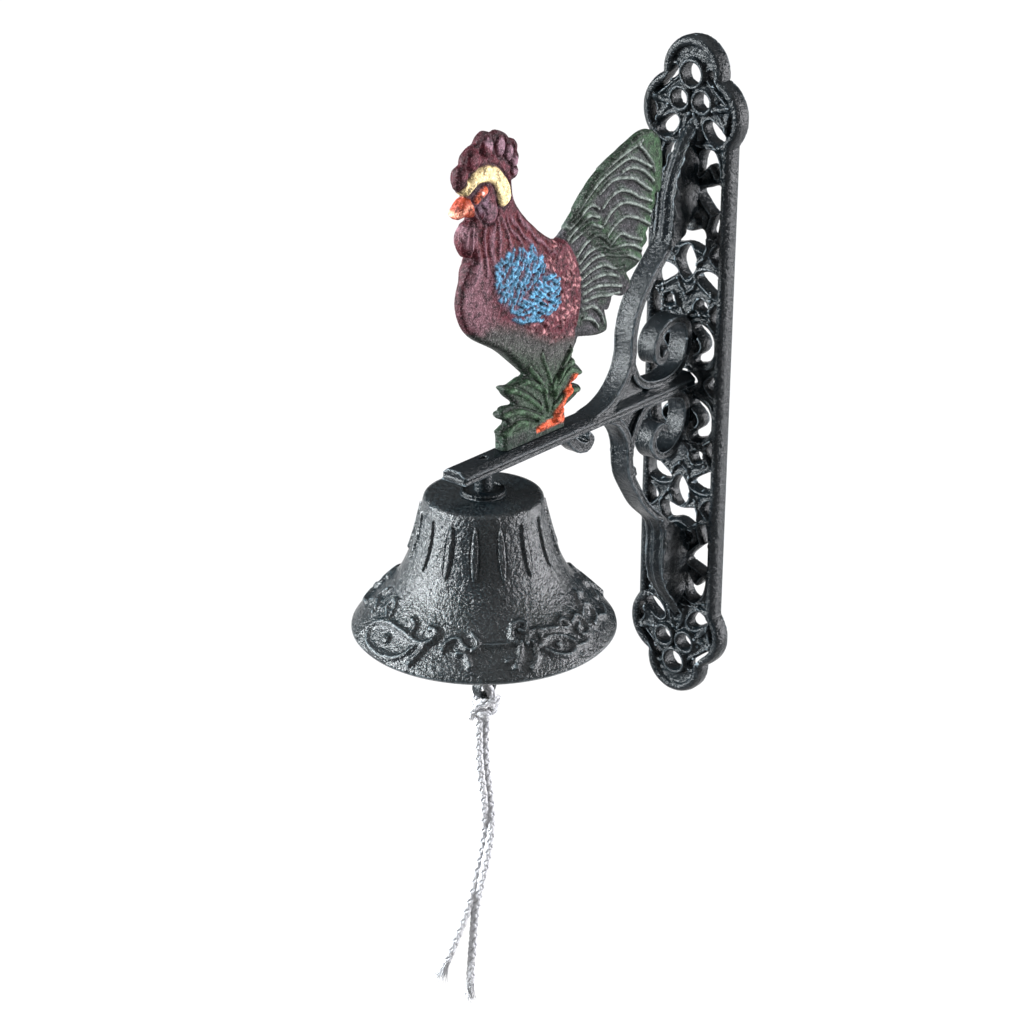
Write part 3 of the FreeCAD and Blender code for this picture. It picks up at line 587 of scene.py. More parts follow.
# Strokes of the vine over half the bell: (half width, [(degrees from the view, mm above the lip), ...]).
VINE = [
    (1.25, [(-68.5, 5), (-67.8, 7.6), (-66, 11), (-62, 14), (-55, 15.4), (-47.2, 15.2), (-40.2, 14.3),
            (-34.8, 13.1), (-30.5, 13.1), (-27, 14.8), (-25, 17.6), (-26.4, 19.6), (-29.4, 19.8)]),
    (1.15, [(-29.2, 13), (-31, 8.2), (-33.5, 3.6)]),
    (1.05, [(-40.2, 14.3), (-39.2, 17), (-39.4, 19.6), (-42.6, 20.8)]),
    (0.95, [(-59, 15.3), (-62.6, 17.6), (-66.6, 19.6), (-66, 23.4), (-61.6, 23), (-59.6, 19.4),
            (-58.6, 15.8)]),
    (1.1, [(-88, 13.6), (-81.5, 17.4), (-76.5, 16.4), (-74.6, 13.4)]),
    (1.1, [(-82, 17), (-83.5, 21), (-80, 24)]),
    (0.95, [(-66.5, 8.2), (-62.2, 4), (-53, 2.6), (-43.8, 3.4), (-38, 6.3), (-34.5, 10.8)]),
    (1.1, [(-19.6, 12.4), (-18.2, 15.4), (-15, 17.6), (-12, 17.4), (-10, 15.4), (-6.6, 13.4), (-3.2, 14.2),
           (-2.4, 17.2), (-5.5, 19.6)]),
    (1, [(-12, 11.6), (-8, 11.4), (-5.6, 7)]),
    (0.75, [(-2, 15.9), (7, 15.6), (15.5, 15.8)]),
    (1.2, [(17.2, 15.6), (15.6, 19), (16.8, 22.6), (20.8, 24.1), (24.6, 22.6), (23.2, 19.9), (20.2, 20.6)]),
    (1.2, [(22.4, 14.6), (24, 17.4), (27.6, 18.6), (30.8, 16.6), (30, 13.4), (26.8, 12.8), (25.2, 15)]),
    (1.2, [(19.4, 15.6), (18, 11), (14.6, 5.6)]),
    (1.2, [(25.8, 12.8), (25.2, 8.2), (21.6, 4.6)]),
    (0.9, [(14.8, 9.4), (11.2, 8.4)]),
    (1.25, [(23, 19.6), (32.2, 18.8), (40.8, 17.6), (47.2, 16), (49.8, 17.6), (47.4, 20.2), (44.4, 18.6)]),
    (1.1, [(30.5, 14), (36, 15.2), (42.5, 13.6), (47.4, 9), (43, 5.6), (36, 7), (30.5, 10.6)]),
    (1.2, [(53, 17), (58.6, 18.4), (62, 14.8), (60.8, 10.8), (55.6, 9.8), (53.4, 12.8), (56.4, 14.6)]),
    (1, [(47.2, 7.8), (53.2, 6.9), (60.2, 8.8)]),
    (1.15, [(64, 17), (70.2, 19.4), (75.8, 16.4), (73, 12.2), (67.6, 10.6)]),
    (1.1, [(68.4, 20.4), (73.4, 24.4), (79, 22.4)]),
    (1.1, [(75.4, 11), (82, 8.6), (88, 10.6)]),
]
VINE_BUDS = [(20.4, 22.0, 1.1), (27.6, 15.6, 1.3), (38.6, 11.0, 1.9), (-52.0, 9.0, 2.4), (57.6, 13.0, 1.2),
             (-27.6, 17.6, 0.9), (-8.4, 14.6, 1.0), (71.0, 15.6, 1.2)]
VINE_MM_PER_DEGREE = 0.80


def vine_relief(angles, s):
    """Height of the raised vine above the lip, over angle and distance from the lip."""
    turn = 180 * VINE_MM_PER_DEGREE
    sheet = Sheet((-turn / 2 - 1, turn / 2 + 1), (0, 27), 0.3)
    height = np.zeros(sheet.u.shape)
    ground = np.zeros(sheet.u.shape)
    for radius, run in VINE:
        line = smooth_line([(a * VINE_MM_PER_DEGREE, b) for a, b in run], 5)
        for shift in (-turn, 0, turn):
            gap = sheet.stroke(line + np.array([shift, 0]), 0.0, 4.0)
            height = np.maximum(height, bead(gap, radius * 1.15, radius * 1.45))
            ground = np.maximum(ground, hump(np.clip(gap - radius, 0, None), 0.9, 0.45))
    for a, b, radius in VINE_BUDS:
        dish = sheet.disc((a * VINE_MM_PER_DEGREE, b), 0.0)
        height = np.maximum(height, bead(dish, radius, radius * 0.8))
    height = np.maximum(height, ground)
    seen = np.degrees(angles - VIEW_AZIMUTH)
    u = ((seen + 90) % 180 - 90) * VINE_MM_PER_DEGREE
    uu, ss = np.meshgrid(u, s)
    found = sheet.sample(height, uu.ravel(), ss.ravel()).reshape(uu.shape)
    return np.where(ss < 26.5, found, 0)


def add_bell():
    """The bell: lens-shaped ribs below the crown, a raised vine above the lip, and a plain inside."""
    columns = 820
    # One column is left out at each of the two turns where neighbours' x + y would be the same, since the
    # pale edge colour, partly wear and partly a painted highlight, takes such close neighbours for one point
    # and draws a pale line.
    kept = np.delete(np.arange(columns + 2), [0, columns // 2 + 1])
    angles = math.radians(135) + 2 * math.pi / (columns + 2) * (kept + 0.4)
    profile = evenly(smooth_line(BELL_PROFILE, 8), 0.72)
    along = lengths_along(profile)
    to_lip = along[-1] - along
    around = (angles / (2 * math.pi) * RIBS + RIB_TURN) % 1 - 0.5
    t = np.clip((RIB_TOP_Z - profile[:, 1]) / RIB_TALL, 0, 1)[:, None]
    lens = RIB_HALF_WIDTH * np.sqrt(np.clip(4 * t * (1 - t), 0, 1)) + 1e-4
    offset = np.abs(around)[None, :] / lens
    present = (t > 0) & (t < 1)
    relief = np.where(present, 0.95 * np.clip(1 - offset ** 4, 0, 1) ** 0.5, 0)
    relief -= np.where(present, 0.30 * np.exp(-((offset - 1.2) / 0.2) ** 2), 0)
    relief += vine_relief(angles, to_lip)
    relief += 0.35 * np.exp(-((to_lip - 0.8) / 1.0) ** 2)[:, None]
    outer = turned_points(profile, angles, relief)
    inner_line = smooth_line([(54.4, -69.6), (53.0, -69.7), (50.6, -66.8), (46.2, -62.2), (39.9, -55.7),
                              (33.5, -48.2), (29.2, -40.2), (26.1, -31.4), (23.8, -22.8), (21.4, -14.4),
                              (20.2, -13.2), (12.0, -13.2), (2.0, -13.2)], 5)
    inner = turned_points(inner_line, angles[::4])
    points = np.vstack([outer.reshape(-1, 3), inner.reshape(-1, 3)])
    quarter = columns // 4
    start = len(profile) * columns
    faces = grid_faces(len(profile), columns) + grid_faces(len(inner_line), quarter, start)

    def join_rings(outer_start, inner_start, turn):
        for j in range(quarter):
            outer_run = [outer_start + (4 * j + i) % columns for i in range(5)]
            face = outer_run + [inner_start + (j + 1) % quarter, inner_start + j]
            faces.append(tuple(face[::turn]))

    join_rings(start - columns, start, -1)
    join_rings(0, start + (len(inner_line) - 1) * quarter, 1)
    piece = add_piece("bell_casting", points, faces, bell_iron)
    finish_piece(piece, "frame", "iron_paint", "bell")


def add_crown_disc():
    """The thin disc on the crown, with a raised rim and a stepped hub."""
    line = smooth_line([(2.0, -7.7), (3.6, -7.7), (4.3, -8.3), (7.4, -8.5), (8.0, -8.0), (8.7, -7.8),
                        (9.3, -8.2), (9.3, -9.4), (8.9, -9.95), (2.0, -9.98)], 5)
    columns = 96
    angles = np.linspace(0, 2 * math.pi, columns, endpoint=False)
    rim = np.exp(-((line[:, 0] - 8.6) / 0.7) ** 2) * (line[:, 1] > -8.9)
    beads = rim[:, None] * 0.18 * np.cos(angles * 32)[None, :]
    points = turned_points(line, angles, beads).reshape(-1, 3)
    faces = grid_faces(len(line), columns)
    last = (len(line) - 1) * columns
    for j in range(columns):
        k = (j + 1) % columns
        faces.append((k, last + k, last + j, j))
    piece = add_piece("crown_plate", points, faces, iron)
    finish_piece(piece, "frame", "iron_paint", "crown_disc")


add_bell()
add_crown_disc()


# ---- the wall plate --------------------------------------------------------------------------
# Openings of the fretwork as (x, height): of one quarter, over the middle line, and at half height.
FRET_QUARTER = [
    [(5.2, 94.5), (10.3, 99.5), (14.9, 94.5), (13.5, 102.5), (9.8, 105.8), (6.0, 102.5)],
    [(5.4, 87.0), (9.0, 82.0), (14.5, 77.5), (16.5, 82.0), (16.0, 90.5), (10.5, 89.3)],
    [(11.3, 69.5), (14.2, 68.5), (15.8, 75.5), (14.2, 78.0), (12.6, 74.5)],
    [(12.9, 59.5), (16.7, 56.0), (16.8, 63.8)],
    [(5.5, 49.0), (10.5, 44.5), (16.5, 41.5), (17.0, 49.0), (11.5, 51.5)],
    [(6.3, 34.5), (10.5, 33.0), (11.0, 36.5), (7.3, 38.0)],
    [(13.3, 31.0), (16.9, 27.5), (17.0, 37.5)],
    [(6.5, 8.4), (13.1, 11.2), (15.7, 17.8), (13.1, 24.4), (6.5, 27.2),
     (5.5, 24.8), (9.9, 21.2), (11.3, 17.8), (9.9, 14.4), (5.5, 10.8)],
    [(7.3, 117.2), (10.4, 112.0), (16.3, 110.5), (17.2, 114.0), (10.5, 119.2)],
    [(8.3, 137.8), (13.2, 133.2), (19.2, 128.5), (14.2, 134.4), (9.6, 140.5)],
    [(19.7, 114.5), (21.4, 117.5), (21.3, 123.5), (19.6, 121.0)],
]
FRET_CENTRE = [
    [(-8.6, 61.5), (0, 63.0), (8.6, 61.5), (9.0, 67.0), (7.0, 70.0), (0, 68.0), (-7.0, 70.0), (-9.0, 67.0)],
    [(0, 47.0), (4.4, 54.5), (0, 62.0), (-4.4, 54.5)],
    [(0, 107.0), (2.0, 111.0), (0, 116.5), (-2.0, 111.0)],
]
FRET_MIDDLE = [
    [(-7.0, 0.5), (0, -3.4), (7.0, 0.5), (0, 4.4)],
    [(12.6, 0.0), (16.8, -3.8), (16.8, 3.8)],
    [(-12.6, 0.0), (-16.8, -3.8), (-16.8, 3.8)],
]
# Raised strokes on the strands of one quarter: (points, half width, rise).
FRET_STRAIGHT = [
    ([(0, 29.5), (3.5, 33.0), (7.0, 38.6)], 1.0, 1.3),
    ([(0, 29.5), (3.0, 30.0), (8.0, 31.4)], 0.8, 1.0),
    ([(0, 40.0), (3.5, 43.0), (4.6, 46.0)], 0.9, 1.2),
]
FRET_CURVED = [
    ([(3.4, 73.6), (7.2, 72.2), (8.4, 76.0), (5.4, 78.4), (2.4, 76.4)], 1.1, 1.5),
    ([(9.2, 66.0), (10.4, 61.5), (8.4, 57.4), (5.6, 54.4)], 1.0, 1.3),
    ([(3.4, 5.0), (9.5, 6.3), (15.6, 9.6), (17.6, 17.8), (15.6, 26.0), (9.5, 29.0)], 0.9, 1.2),
    ([(6.4, 12.4), (9.3, 14.9), (10.0, 17.8), (8.3, 20.6), (5.6, 19.4)], 1.1, 1.6),
    ([(4.0, 106.5), (9.6, 108.0), (15.5, 106.8)], 0.9, 1.4),
    ([(9.8, 125.4), (13.6, 125.2), (19.4, 126.2)], 1.5, 1.7),
    ([(11.6, 123.6), (15.0, 120.6), (18.2, 116.6)], 1.2, 1.4),
    ([(4.8, 134.6), (9.4, 131.6), (12.6, 128.4)], 1.2, 1.4),
    ([(1.2, 121.4), (3.4, 117.4), (4.6, 111.0)], 1.1, 1.4),
]
# Ringed holes as (x, height, radius), and the outline's straight sides and round lobes.
PLATE_HOLES = [(0.0, 138.65, 4.8), (5.9, 127.4, 3.9)]
PLATE_HALF_WIDE = 21.6
PLATE_THICK = 8.1
STRAIGHT_TOP = 112.0
SIDE_LOBE_X, SIDE_LOBE_Z, SIDE_LOBE_RADIUS = 8.54, 121.53, 17.42
END_LOBE_Z, END_LOBE_RADIUS = 139.4, 15.6
PATTERN_RISE = 1.5


def fret_points(run, hand, end):
    """A run of one quarter's points mirrored; the pattern sits a little high, except in the end lobes."""
    return [(hand * x, (0.0 if z > 108 else PATTERN_RISE) + end * z) for x, z in run]


def add_plate():
    """The pierced plate: scroll strands with round lips, a rope-edged rim, ringed holes."""
    step = 0.5
    sheet = Sheet((-27.5, 27.5), (-156.5, 156.5), step)
    u, w = sheet.u, np.abs(sheet.v)
    side_lobes = np.hypot(np.abs(u) - SIDE_LOBE_X, w - SIDE_LOBE_Z) - SIDE_LOBE_RADIUS
    end_lobe = np.hypot(u, w - END_LOBE_Z) - END_LOBE_RADIUS
    straight = np.maximum(np.abs(u) - PLATE_HALF_WIDE, w - STRAIGHT_TOP)
    outline = np.minimum(np.minimum(side_lobes, end_lobe), straight)
    holes = np.full(u.shape, 6.0)
    quarters = [(hand, end) for end in (1, -1) for hand in (1, -1)]
    openings = [fret_points(run, 1, end) for end in (1, -1) for run in FRET_CENTRE]
    openings += [fret_points(run, 1, 1) for run in FRET_MIDDLE]
    openings += [fret_points(run, hand, end) for hand, end in quarters for run in FRET_QUARTER]
    for run in openings:
        holes = np.minimum(holes, sheet.outline(smooth_line(run, 5, True), 6.0))
    strand = 3.7 + 1.7 * quarter_round(holes, 2.2)
    height = strand + hump(holes - 1.3, 0.8, 0.9) - hump(holes - 3.6, 1.0, 0.5)
    for hand, end in quarters:
        for strokes, bend in ((FRET_STRAIGHT, np.array), (FRET_CURVED, smooth_line)):
            for run, radius, rise in strokes:
                line = bend(fret_points(run, hand, end))
                height = height + bead(sheet.stroke(line, 0.0, 5.0), radius, rise)
    bores = np.full(u.shape, 50.0)
    for x, z, radius in PLATE_HOLES:
        for hand, end in quarters:
            gap = sheet.disc((hand * x, end * z), radius)
            height = np.where(gap < 2.3, np.maximum(height, 5.4 + bead(gap - 0.95, 1.3, 2.3)), height)
            bores = np.minimum(bores, gap)
    for hand, end in quarters:
        for k in range(8):
            place = (hand * (12.4 + 0.25 * abs(k - 3.5)), PATTERN_RISE + end * (27.8 + 2.25 * k))
            height = np.maximum(height, 4.2 + bead(sheet.disc(place, 0.0), 1.35, 2.2))
    inward = -outline
    rim = bead(inward - 2.5, 2.1, 2.0) + 5.6
    beads = 0.35 * np.cos(sheet.v * 2 * math.pi / 1.9 + u * 1.4) * hump(inward - 3.9, 0.5, 1.0)
    height = np.where(inward < 4.6, np.maximum(rim + beads, np.where(inward < 2.5, 5.0, 0)), height)
    height = np.minimum(height, PLATE_THICK) - 1.1 * (1 - quarter_round(inward, 1.1))
    through = np.maximum(outline, -np.minimum(holes, bores))
    depth = np.arange(-9.5, 1.5, step)
    field = np.maximum(through[:, None, :], -depth[None, :, None] - height[:, None, :])
    field = np.maximum(field, depth[None, :, None])
    points, faces = field_surface(field, (sheet.us[0], depth[0], sheet.vs[0]), step, 0.12)
    piece = add_piece("plate_casting", points, faces, iron)
    finish_piece(piece, "frame", "iron_paint", "wall_plate")


# ---- the bracket -----------------------------------------------------------------------------
# Middle lines of the bracket's strips as (Y, height), upper one first.
BRACES = [
    [(-74, 3.4), (-66, 5.2), (-58, 9.6), (-51.5, 17), (-48.6, 25), (-48.2, 34), (-45.2, 44),
     (-38.3, 54), (-28.3, 64), (-18.3, 74), (-10.3, 82), (-4.6, 88.2)],
    [(-66, 1.4), (-58.5, -2.4), (-52.6, -9), (-50, -16), (-49.3, -24), (-47.8, -31),
     (-43.2, -39), (-36.2, -49), (-26.4, -58), (-17.6, -66.5), (-10, -74), (-4.6, -79.6)],
]
VOLUTES = [
    [(-49.3, 21.5), (-45, 13.6), (-39, 9.2), (-31, 7.3), (-23, 7.3), (-15, 10), (-10, 16),
     (-8.6, 24), (-11.2, 30.4), (-17, 33.2), (-24, 32.4), (-29.5, 29), (-32, 24),
     (-31, 18.7), (-27.6, 16.8), (-25.4, 19.6)],
    [(-49.6, -20), (-46, -11.5), (-41.5, -4.5), (-36, -1), (-26, -0.6), (-15, -2.2),
     (-9.4, -7), (-8.6, -15), (-12, -22.5), (-19, -27.6), (-27, -28), (-32, -23),
     (-32, -17.5), (-28, -14.2), (-24, -15.6)],
]
CURL = [(-89.5, 0.8), (-86.5, -3.5), (-82, -7.2), (-77.2, -8.6), (-74.2, -6.4), (-75.6, -3.9)]
CURL_HALF_THICK = (2.2, 2.6, 2.6, 2.4, 2.0, 1.6)
WEBS = [[(-62, 5), (-49.5, 21), (-39, 8), (-39, 5)], [(-62, 1), (-49.8, -18), (-40, -2), (-40, 1)]]
PAD_MIDDLES = (24, -15)
ARM_TOP = 5.6
ARM_HALF_WIDE = 6.45
ARM_END = -158.8
ARM_BORES = [(BELL_Y, 2.0), (-122.0, 1.5), (-101.0, 1.5)]
LEAVES = [
    [(-27, 66), (-24.4, 72), (-23.4, 80), (-23, 88), (-20, 98), (-13, 110), (-5.3, 119),
     (-5.3, 82), (-16, 70)],
    [(-27.5, -57.5), (-24.2, -66), (-24.3, -77), (-23.8, -87), (-19.5, -97), (-12.5, -106),
     (-5.3, -113), (-5.3, -75)],
]


def add_bracket():
    """Arm, braces, spirals, leaves and curl, with beaded strip edges and fillets where they join."""
    step = 0.48
    sheet = Sheet((-160.6, -4.2), (-116, 122), step)
    half = np.arange(-8.2, 8.2 + step, step)
    x = np.abs(half)[None, None, :]

    def strip(line, half_thick, half_wide):
        centre = sheet.stroke(smooth_line(line, 5), 0.0, 7.0)
        side = half_wide + 0.22 - 0.42 * np.exp(-(centre / 0.75) ** 2)
        crown = 0.35 * np.exp(-((x - half_wide + 0.8) / 0.7) ** 2)
        return box_join((centre - half_thick - 0.18)[..., None] - crown, x - side[..., None])

    def tapered(line, widths, half_wide):
        route = smooth_line(line, 5)
        radii = np.interp(np.linspace(0, 1, len(route)), np.linspace(0, 1, len(widths)), widths)
        centre = sheet.stroke(route, radii, 7.0)
        side = half_wide + 0.22 - 0.3 * np.exp(-((centre + 2.0) / 0.75) ** 2)
        return box_join(centre[..., None], x - side[..., None])

    field = np.full((len(sheet.us), len(sheet.vs), len(half)), 6.0)
    for line in BRACES:
        field = blend_min(field, strip(line, 1.5, 5.0), 0.8)
    for line in VOLUTES:
        field = blend_min(field, strip(line, 1.5, 4.8), 0.8)
        tip = sheet.disc(line[-1], 2.0)
        field = blend_min(field, box_join(tip[..., None], x - 4.6), 0.8)
    field = blend_min(field, tapered(CURL, CURL_HALF_THICK, 3.0), 0.8)
    for run in WEBS:
        web = sheet.outline(run, 6.0)
        field = blend_min(field, box_join(web[..., None], x - 2.6), 1.0)
    for middle in PAD_MIDDLES:
        pad = np.maximum(np.abs(sheet.u + 7.1) - 1.8, np.abs(sheet.v - middle) - 5)
        field = blend_min(field, box_join(pad[..., None], x - 3.0), 0.8)
    knob = sheet.disc((-44.6, -31.0), 2.7)
    round_side = np.hypot(np.maximum(knob, 0)[..., None], np.maximum(x - 2.0, 0))
    field = blend_min(field, round_side + np.minimum(knob, 0)[..., None] - 0.4, 0.8)
    for run, lean in zip(LEAVES, (1, -1)):
        shape = sheet.outline(smooth_line(run, 4, True) if lean < 0 else run, 7.0)
        climb = np.clip((lean * sheet.v - 66) / 52, 0, 1)
        wide = 5.7 - 2.6 * climb ** 1.6
        veins = 0.4 * np.cos(lean * sheet.v * 0.62 + sheet.u * 0.9) * (shape > -4)
        lobes = 0.35 * np.cos(lean * sheet.v * 0.55)
        ridge = (0.9 * np.exp(-(x / 1.1) ** 2) - 0.5 * np.exp(-((x - 2.6) / 0.8) ** 2)
                 + 0.4 * np.exp(-((x - 4.3) / 0.7) ** 2))
        leaf = box_join((shape[..., None] + 0.5) - ridge, x - (wide + veins + lobes)[..., None])
        field = blend_min(field, leaf, 1.2)
    v = sheet.v[..., None]
    slope = ((x - 3.4) * 2.6 + (v - ARM_TOP) * 3.05) / math.hypot(2.6, 3.05)
    arm = np.maximum(np.maximum(x - ARM_HALF_WIDE, slope), np.maximum(v - ARM_TOP, -v))
    arm = np.maximum(arm, ARM_END - sheet.u[..., None])
    side_groove = 0.35 * np.exp(-((v - 1.5) / 0.5) ** 2) * (x > 5.5)
    end_groove = 0.5 * np.exp(-((v - 2.6) / 0.45) ** 2) * (sheet.u < ARM_END + 0.8)[..., None]
    field = blend_min(field, arm + side_groove + end_groove, 1.0)
    for y, radius in ARM_BORES:
        bore = np.hypot(sheet.u[..., None] - y, x) - radius
        field = np.maximum(field, -np.where((v > -1) & (v < 7), bore, 9.0))
    field = np.maximum(field, sheet.u[..., None] + 5.25)
    points, faces = field_surface(field, (sheet.us[0], sheet.vs[0], half[0]), step, 0.06)
    turned = points[:, [2, 0, 1]]
    piece = add_piece("bracket_casting", turned, faces, iron)
    finish_piece(piece, "frame", "iron_paint", "bracket")


# ---- the rooster -----------------------------------------------------------------------------
# The outline's smooth runs, each starting where the one before it ends at a corner.
ROOSTER_START = (-134.5, 4)
ROOSTER_RUNS = [
    [(-134.5, 13.6), (-136, 15.5), (-131, 19), (-136, 22.5), (-133, 26), (-126, 25.5), (-132, 31),
     (-133.5, 35), (-127, 34.5), (-119.5, 36.5)],
    [(-127, 43.5), (-136, 51), (-150, 59.5), (-156.5, 66.5), (-159.2, 76), (-156.6, 86), (-154.4, 91),
     (-151.6, 93.6)],
    [(-155.6, 94.7), (-158.2, 98.6), (-157.8, 103.6), (-155, 107.4), (-151.6, 109.4)],
    [(-156.2, 110.9), (-159.8, 110.6), (-161.2, 112.2)],
    [(-159, 116), (-155.3, 118.8)],
    [(-159.2, 121.8), (-160.6, 125.6), (-159.6, 129.6), (-156.6, 131.4)],
    [(-155.2, 134.8), (-152, 137), (-148.4, 137.9)],
    [(-146.4, 140.6), (-143, 141.9), (-138.6, 140.4)],
    [(-135.6, 141), (-131.6, 139), (-129.8, 137)],
    [(-126.6, 135.9), (-124.8, 133.4), (-125.1, 131.2)],
    [(-123.9, 128.6), (-125.1, 125.2)],
    [(-124.2, 122.9), (-125.6, 120.6), (-128.5, 119.8)],
    [(-127, 112), (-121, 104), (-112, 95.5), (-104, 90.5), (-98, 88.5)],
    [(-86.8, 99.8), (-77, 109.2), (-66, 115), (-54, 120), (-45, 122.9), (-38.2, 122.2), (-33, 117.6),
     (-31.2, 110), (-31.2, 103), (-31.2, 97.4)],
    [(-32.6, 94.6), (-35.6, 94.4)],
    [(-35, 90.5), (-38.4, 86.4)],
    [(-37.6, 82.5), (-41.2, 78.8)],
    [(-40.4, 75), (-44.2, 72)],
    [(-43.4, 68.6), (-47.4, 65.6), (-54, 64)],
    [(-51, 58.5), (-56, 54.5), (-63, 56.5)],
    [(-66, 51), (-68.5, 51.5)],
    [(-66.5, 43), (-73, 41.5), (-86, 44)],
    [(-90, 38), (-88, 33.5)],
    [(-83.5, 28.5), (-87, 26.5), (-92, 25)],
    [(-85, 22.5), (-86.5, 19), (-95.5, 15.4)],
    [(-95.5, 4)],
]
TAIL_RUNS = slice(11, 19)
TAIL_HALF_THICK = 2.4
# The drawing is set this far back (Y) and down (Z) when the mesh is made, to stand on the arm.
ROOSTER_SHIFT = (3.5, -2.0)
# Ovals on the rooster's side: the middle as (Y, height), then half the width and half the height.
COMB_LOBES = [((-157.3, 126.2), (2.5, 4.1)), ((-150.7, 132.0), (3.1, 4.1)), ((-143.2, 136.0), (2.9, 4.1)),
              ((-135.7, 134.9), (2.4, 3.9)), ((-130.5, 131.4), (2.2, 3.3)), ((-127.5, 127.5), (1.9, 2.4)),
              ((-127.6, 123.2), (1.8, 1.6))]
FACE_OVAL = ((-148.8, 116.5), (5.2, 6.6))
CHEEK_OVAL = ((-144.2, 110.6), (4.4, 4.6))
WATTLE_OVAL = ((-154.6, 102.4), (3.6, 5.6))
# Lines on the rooster's side as (Y, height).
BROW = [(-158.0, 121.6), (-154.5, 125.0), (-149.2, 127.9), (-145.7, 128.8), (-141.5, 128.3), (-137.4, 126.6),
        (-134.4, 123.6), (-131.5, 119.8), (-131.0, 115.5), (-132.0, 113.3), (-133.8, 112.0), (-136.4, 111.6),
        (-138.7, 113.4), (-139.5, 116.8), (-140.4, 120.5), (-142.3, 122.3), (-144.9, 122.9), (-148.7, 122.8),
        (-152.2, 121.0), (-156.0, 118.8)]
BEAK = [(-155.6, 119.0), (-159.8, 116.2), (-162.2, 113.0), (-161.6, 110.8), (-158.0, 110.6), (-153.4, 110.4),
        (-152.2, 111.6), (-152.6, 115.4), (-153.8, 117.6)]
EYE = [(-150.9, 116.9), (-148.6, 118.4), (-146.0, 119.8)]
WING = [(-143.1, 86), (-137.8, 89.6), (-128.5, 91.2), (-117.8, 89.2), (-114.5, 86.1), (-112.2, 82.5),
        (-104.6, 75.4), (-103.3, 68.4), (-103.6, 63.4), (-112.4, 61.2), (-118.3, 60.2), (-128.3, 62.4),
        (-136.3, 68.4), (-140.6, 72.8), (-143.4, 79.9)]
# Where the body's red ends against the tail, (height, Y), and against the green belly, (Y, height).
TAIL_START = [(48, -89.0), (53, -86.9), (60, -85.5), (70, -85.7), (79, -88.8), (87, -95.2), (91, -100.5)]
BELLY_TOP = [(-153, 60.5), (-143, 65.5), (-129, 61.0), (-118, 55.0), (-105, 49.0), (-88, 46.5)]
# Middle lines of the tail's raised barbs.
BARBS = [
    [(-70.9, 112.1), (-60.9, 115.6), (-50.1, 118.4), (-46.4, 119.8)],
    [(-49.5, 118.6), (-44.5, 114.4), (-40.1, 109.2), (-37.8, 104.8)],
    [(-87.1, 98.9), (-80.6, 103.9), (-72.8, 108.7), (-63.5, 111.9), (-54.1, 113.8), (-45, 109.8),
     (-40, 107)],
    [(-59.3, 109), (-53.8, 109.6), (-46.9, 107.4), (-42.7, 104.6), (-38.4, 100.9)],
    [(-74, 102.9), (-66, 106.6), (-57.9, 106.1), (-51, 104.2), (-45.3, 100.4), (-39.6, 97)],
    [(-71.8, 96.4), (-67.2, 99.7), (-60.5, 101.3), (-53.6, 99.3), (-47.9, 95.9), (-39.4, 92.4)],
    [(-71, 89.3), (-65.7, 93.8), (-58.9, 95.6), (-52, 94), (-45, 90.8), (-38.4, 86.9)],
    [(-68.8, 83.5), (-64.1, 86.9), (-57.4, 89.3), (-51.8, 88), (-46.2, 85.8), (-40.2, 82.3)],
    [(-93, 92.4), (-87.6, 95.2), (-82.4, 98.4), (-78.5, 99), (-74.6, 96.6)],
    [(-95.1, 88.2), (-86.9, 92.4), (-80.4, 94.9), (-74.3, 92.9)],
    [(-92, 86.6), (-84.2, 89.4), (-78.3, 90.6), (-71.9, 88)],
    [(-88.5, 79.5), (-83.1, 83.6), (-75.9, 85.7), (-70.1, 83), (-66.3, 79.7), (-60.2, 82.7), (-52.9, 79.7),
     (-45.6, 77)],
    [(-86.8, 76.2), (-80.1, 79.8), (-71.6, 80), (-65.8, 77.5), (-58.4, 77.4), (-50.6, 75.5), (-44, 71.5)],
    [(-86, 72.4), (-77.3, 76), (-69.2, 75.7), (-62.4, 73.7), (-54, 71.9), (-47, 68.4)],
    [(-85.2, 69), (-78.5, 71.3), (-70.5, 71.6), (-63.5, 68.6), (-56, 67.5)],
    [(-84.6, 65.6), (-76.1, 67.5), (-67.6, 66.9), (-60.6, 64.3)],
    [(-84, 62.1), (-76.9, 63.4), (-68.9, 62.4), (-58.6, 59.6)],
    [(-83.8, 58.9), (-75.5, 59.2), (-68, 57.8), (-60, 56.9)],
    [(-84.3, 55.8), (-77.5, 55.2), (-72.8, 51.4), (-70, 46.2)],
    [(-83.5, 51.6), (-78.1, 49.7), (-73.8, 45.4)],
]
# Fronds over the legs, and the orange toes and leg with their half widths.
FRONDS = [
    [(-132, 34), (-122, 29), (-111, 20)], [(-131, 33), (-120, 34), (-109, 27)],
    [(-134.5, 23), (-124, 22), (-110, 15)], [(-134.5, 14.5), (-124, 17), (-111, 12)],
    [(-119, 40), (-110, 30), (-106, 18)], [(-112, 44), (-106, 34), (-102, 22)],
    [(-85, 28), (-93, 31), (-103, 24)], [(-86, 21), (-94, 22), (-103, 18)],
    [(-92, 40), (-98, 33), (-104, 24)], [(-88.5, 35), (-96, 33), (-105, 27)],
]
TOES = [([(-89.5, 27.5), (-96.5, 19.5), (-102.5, 13.2)], 1.7),
        ([(-113.5, 11.6), (-104, 12.0), (-92.5, 11.4)], 1.5),
        ([(-103, 13), (-98.5, 15.2)], 1.4)]
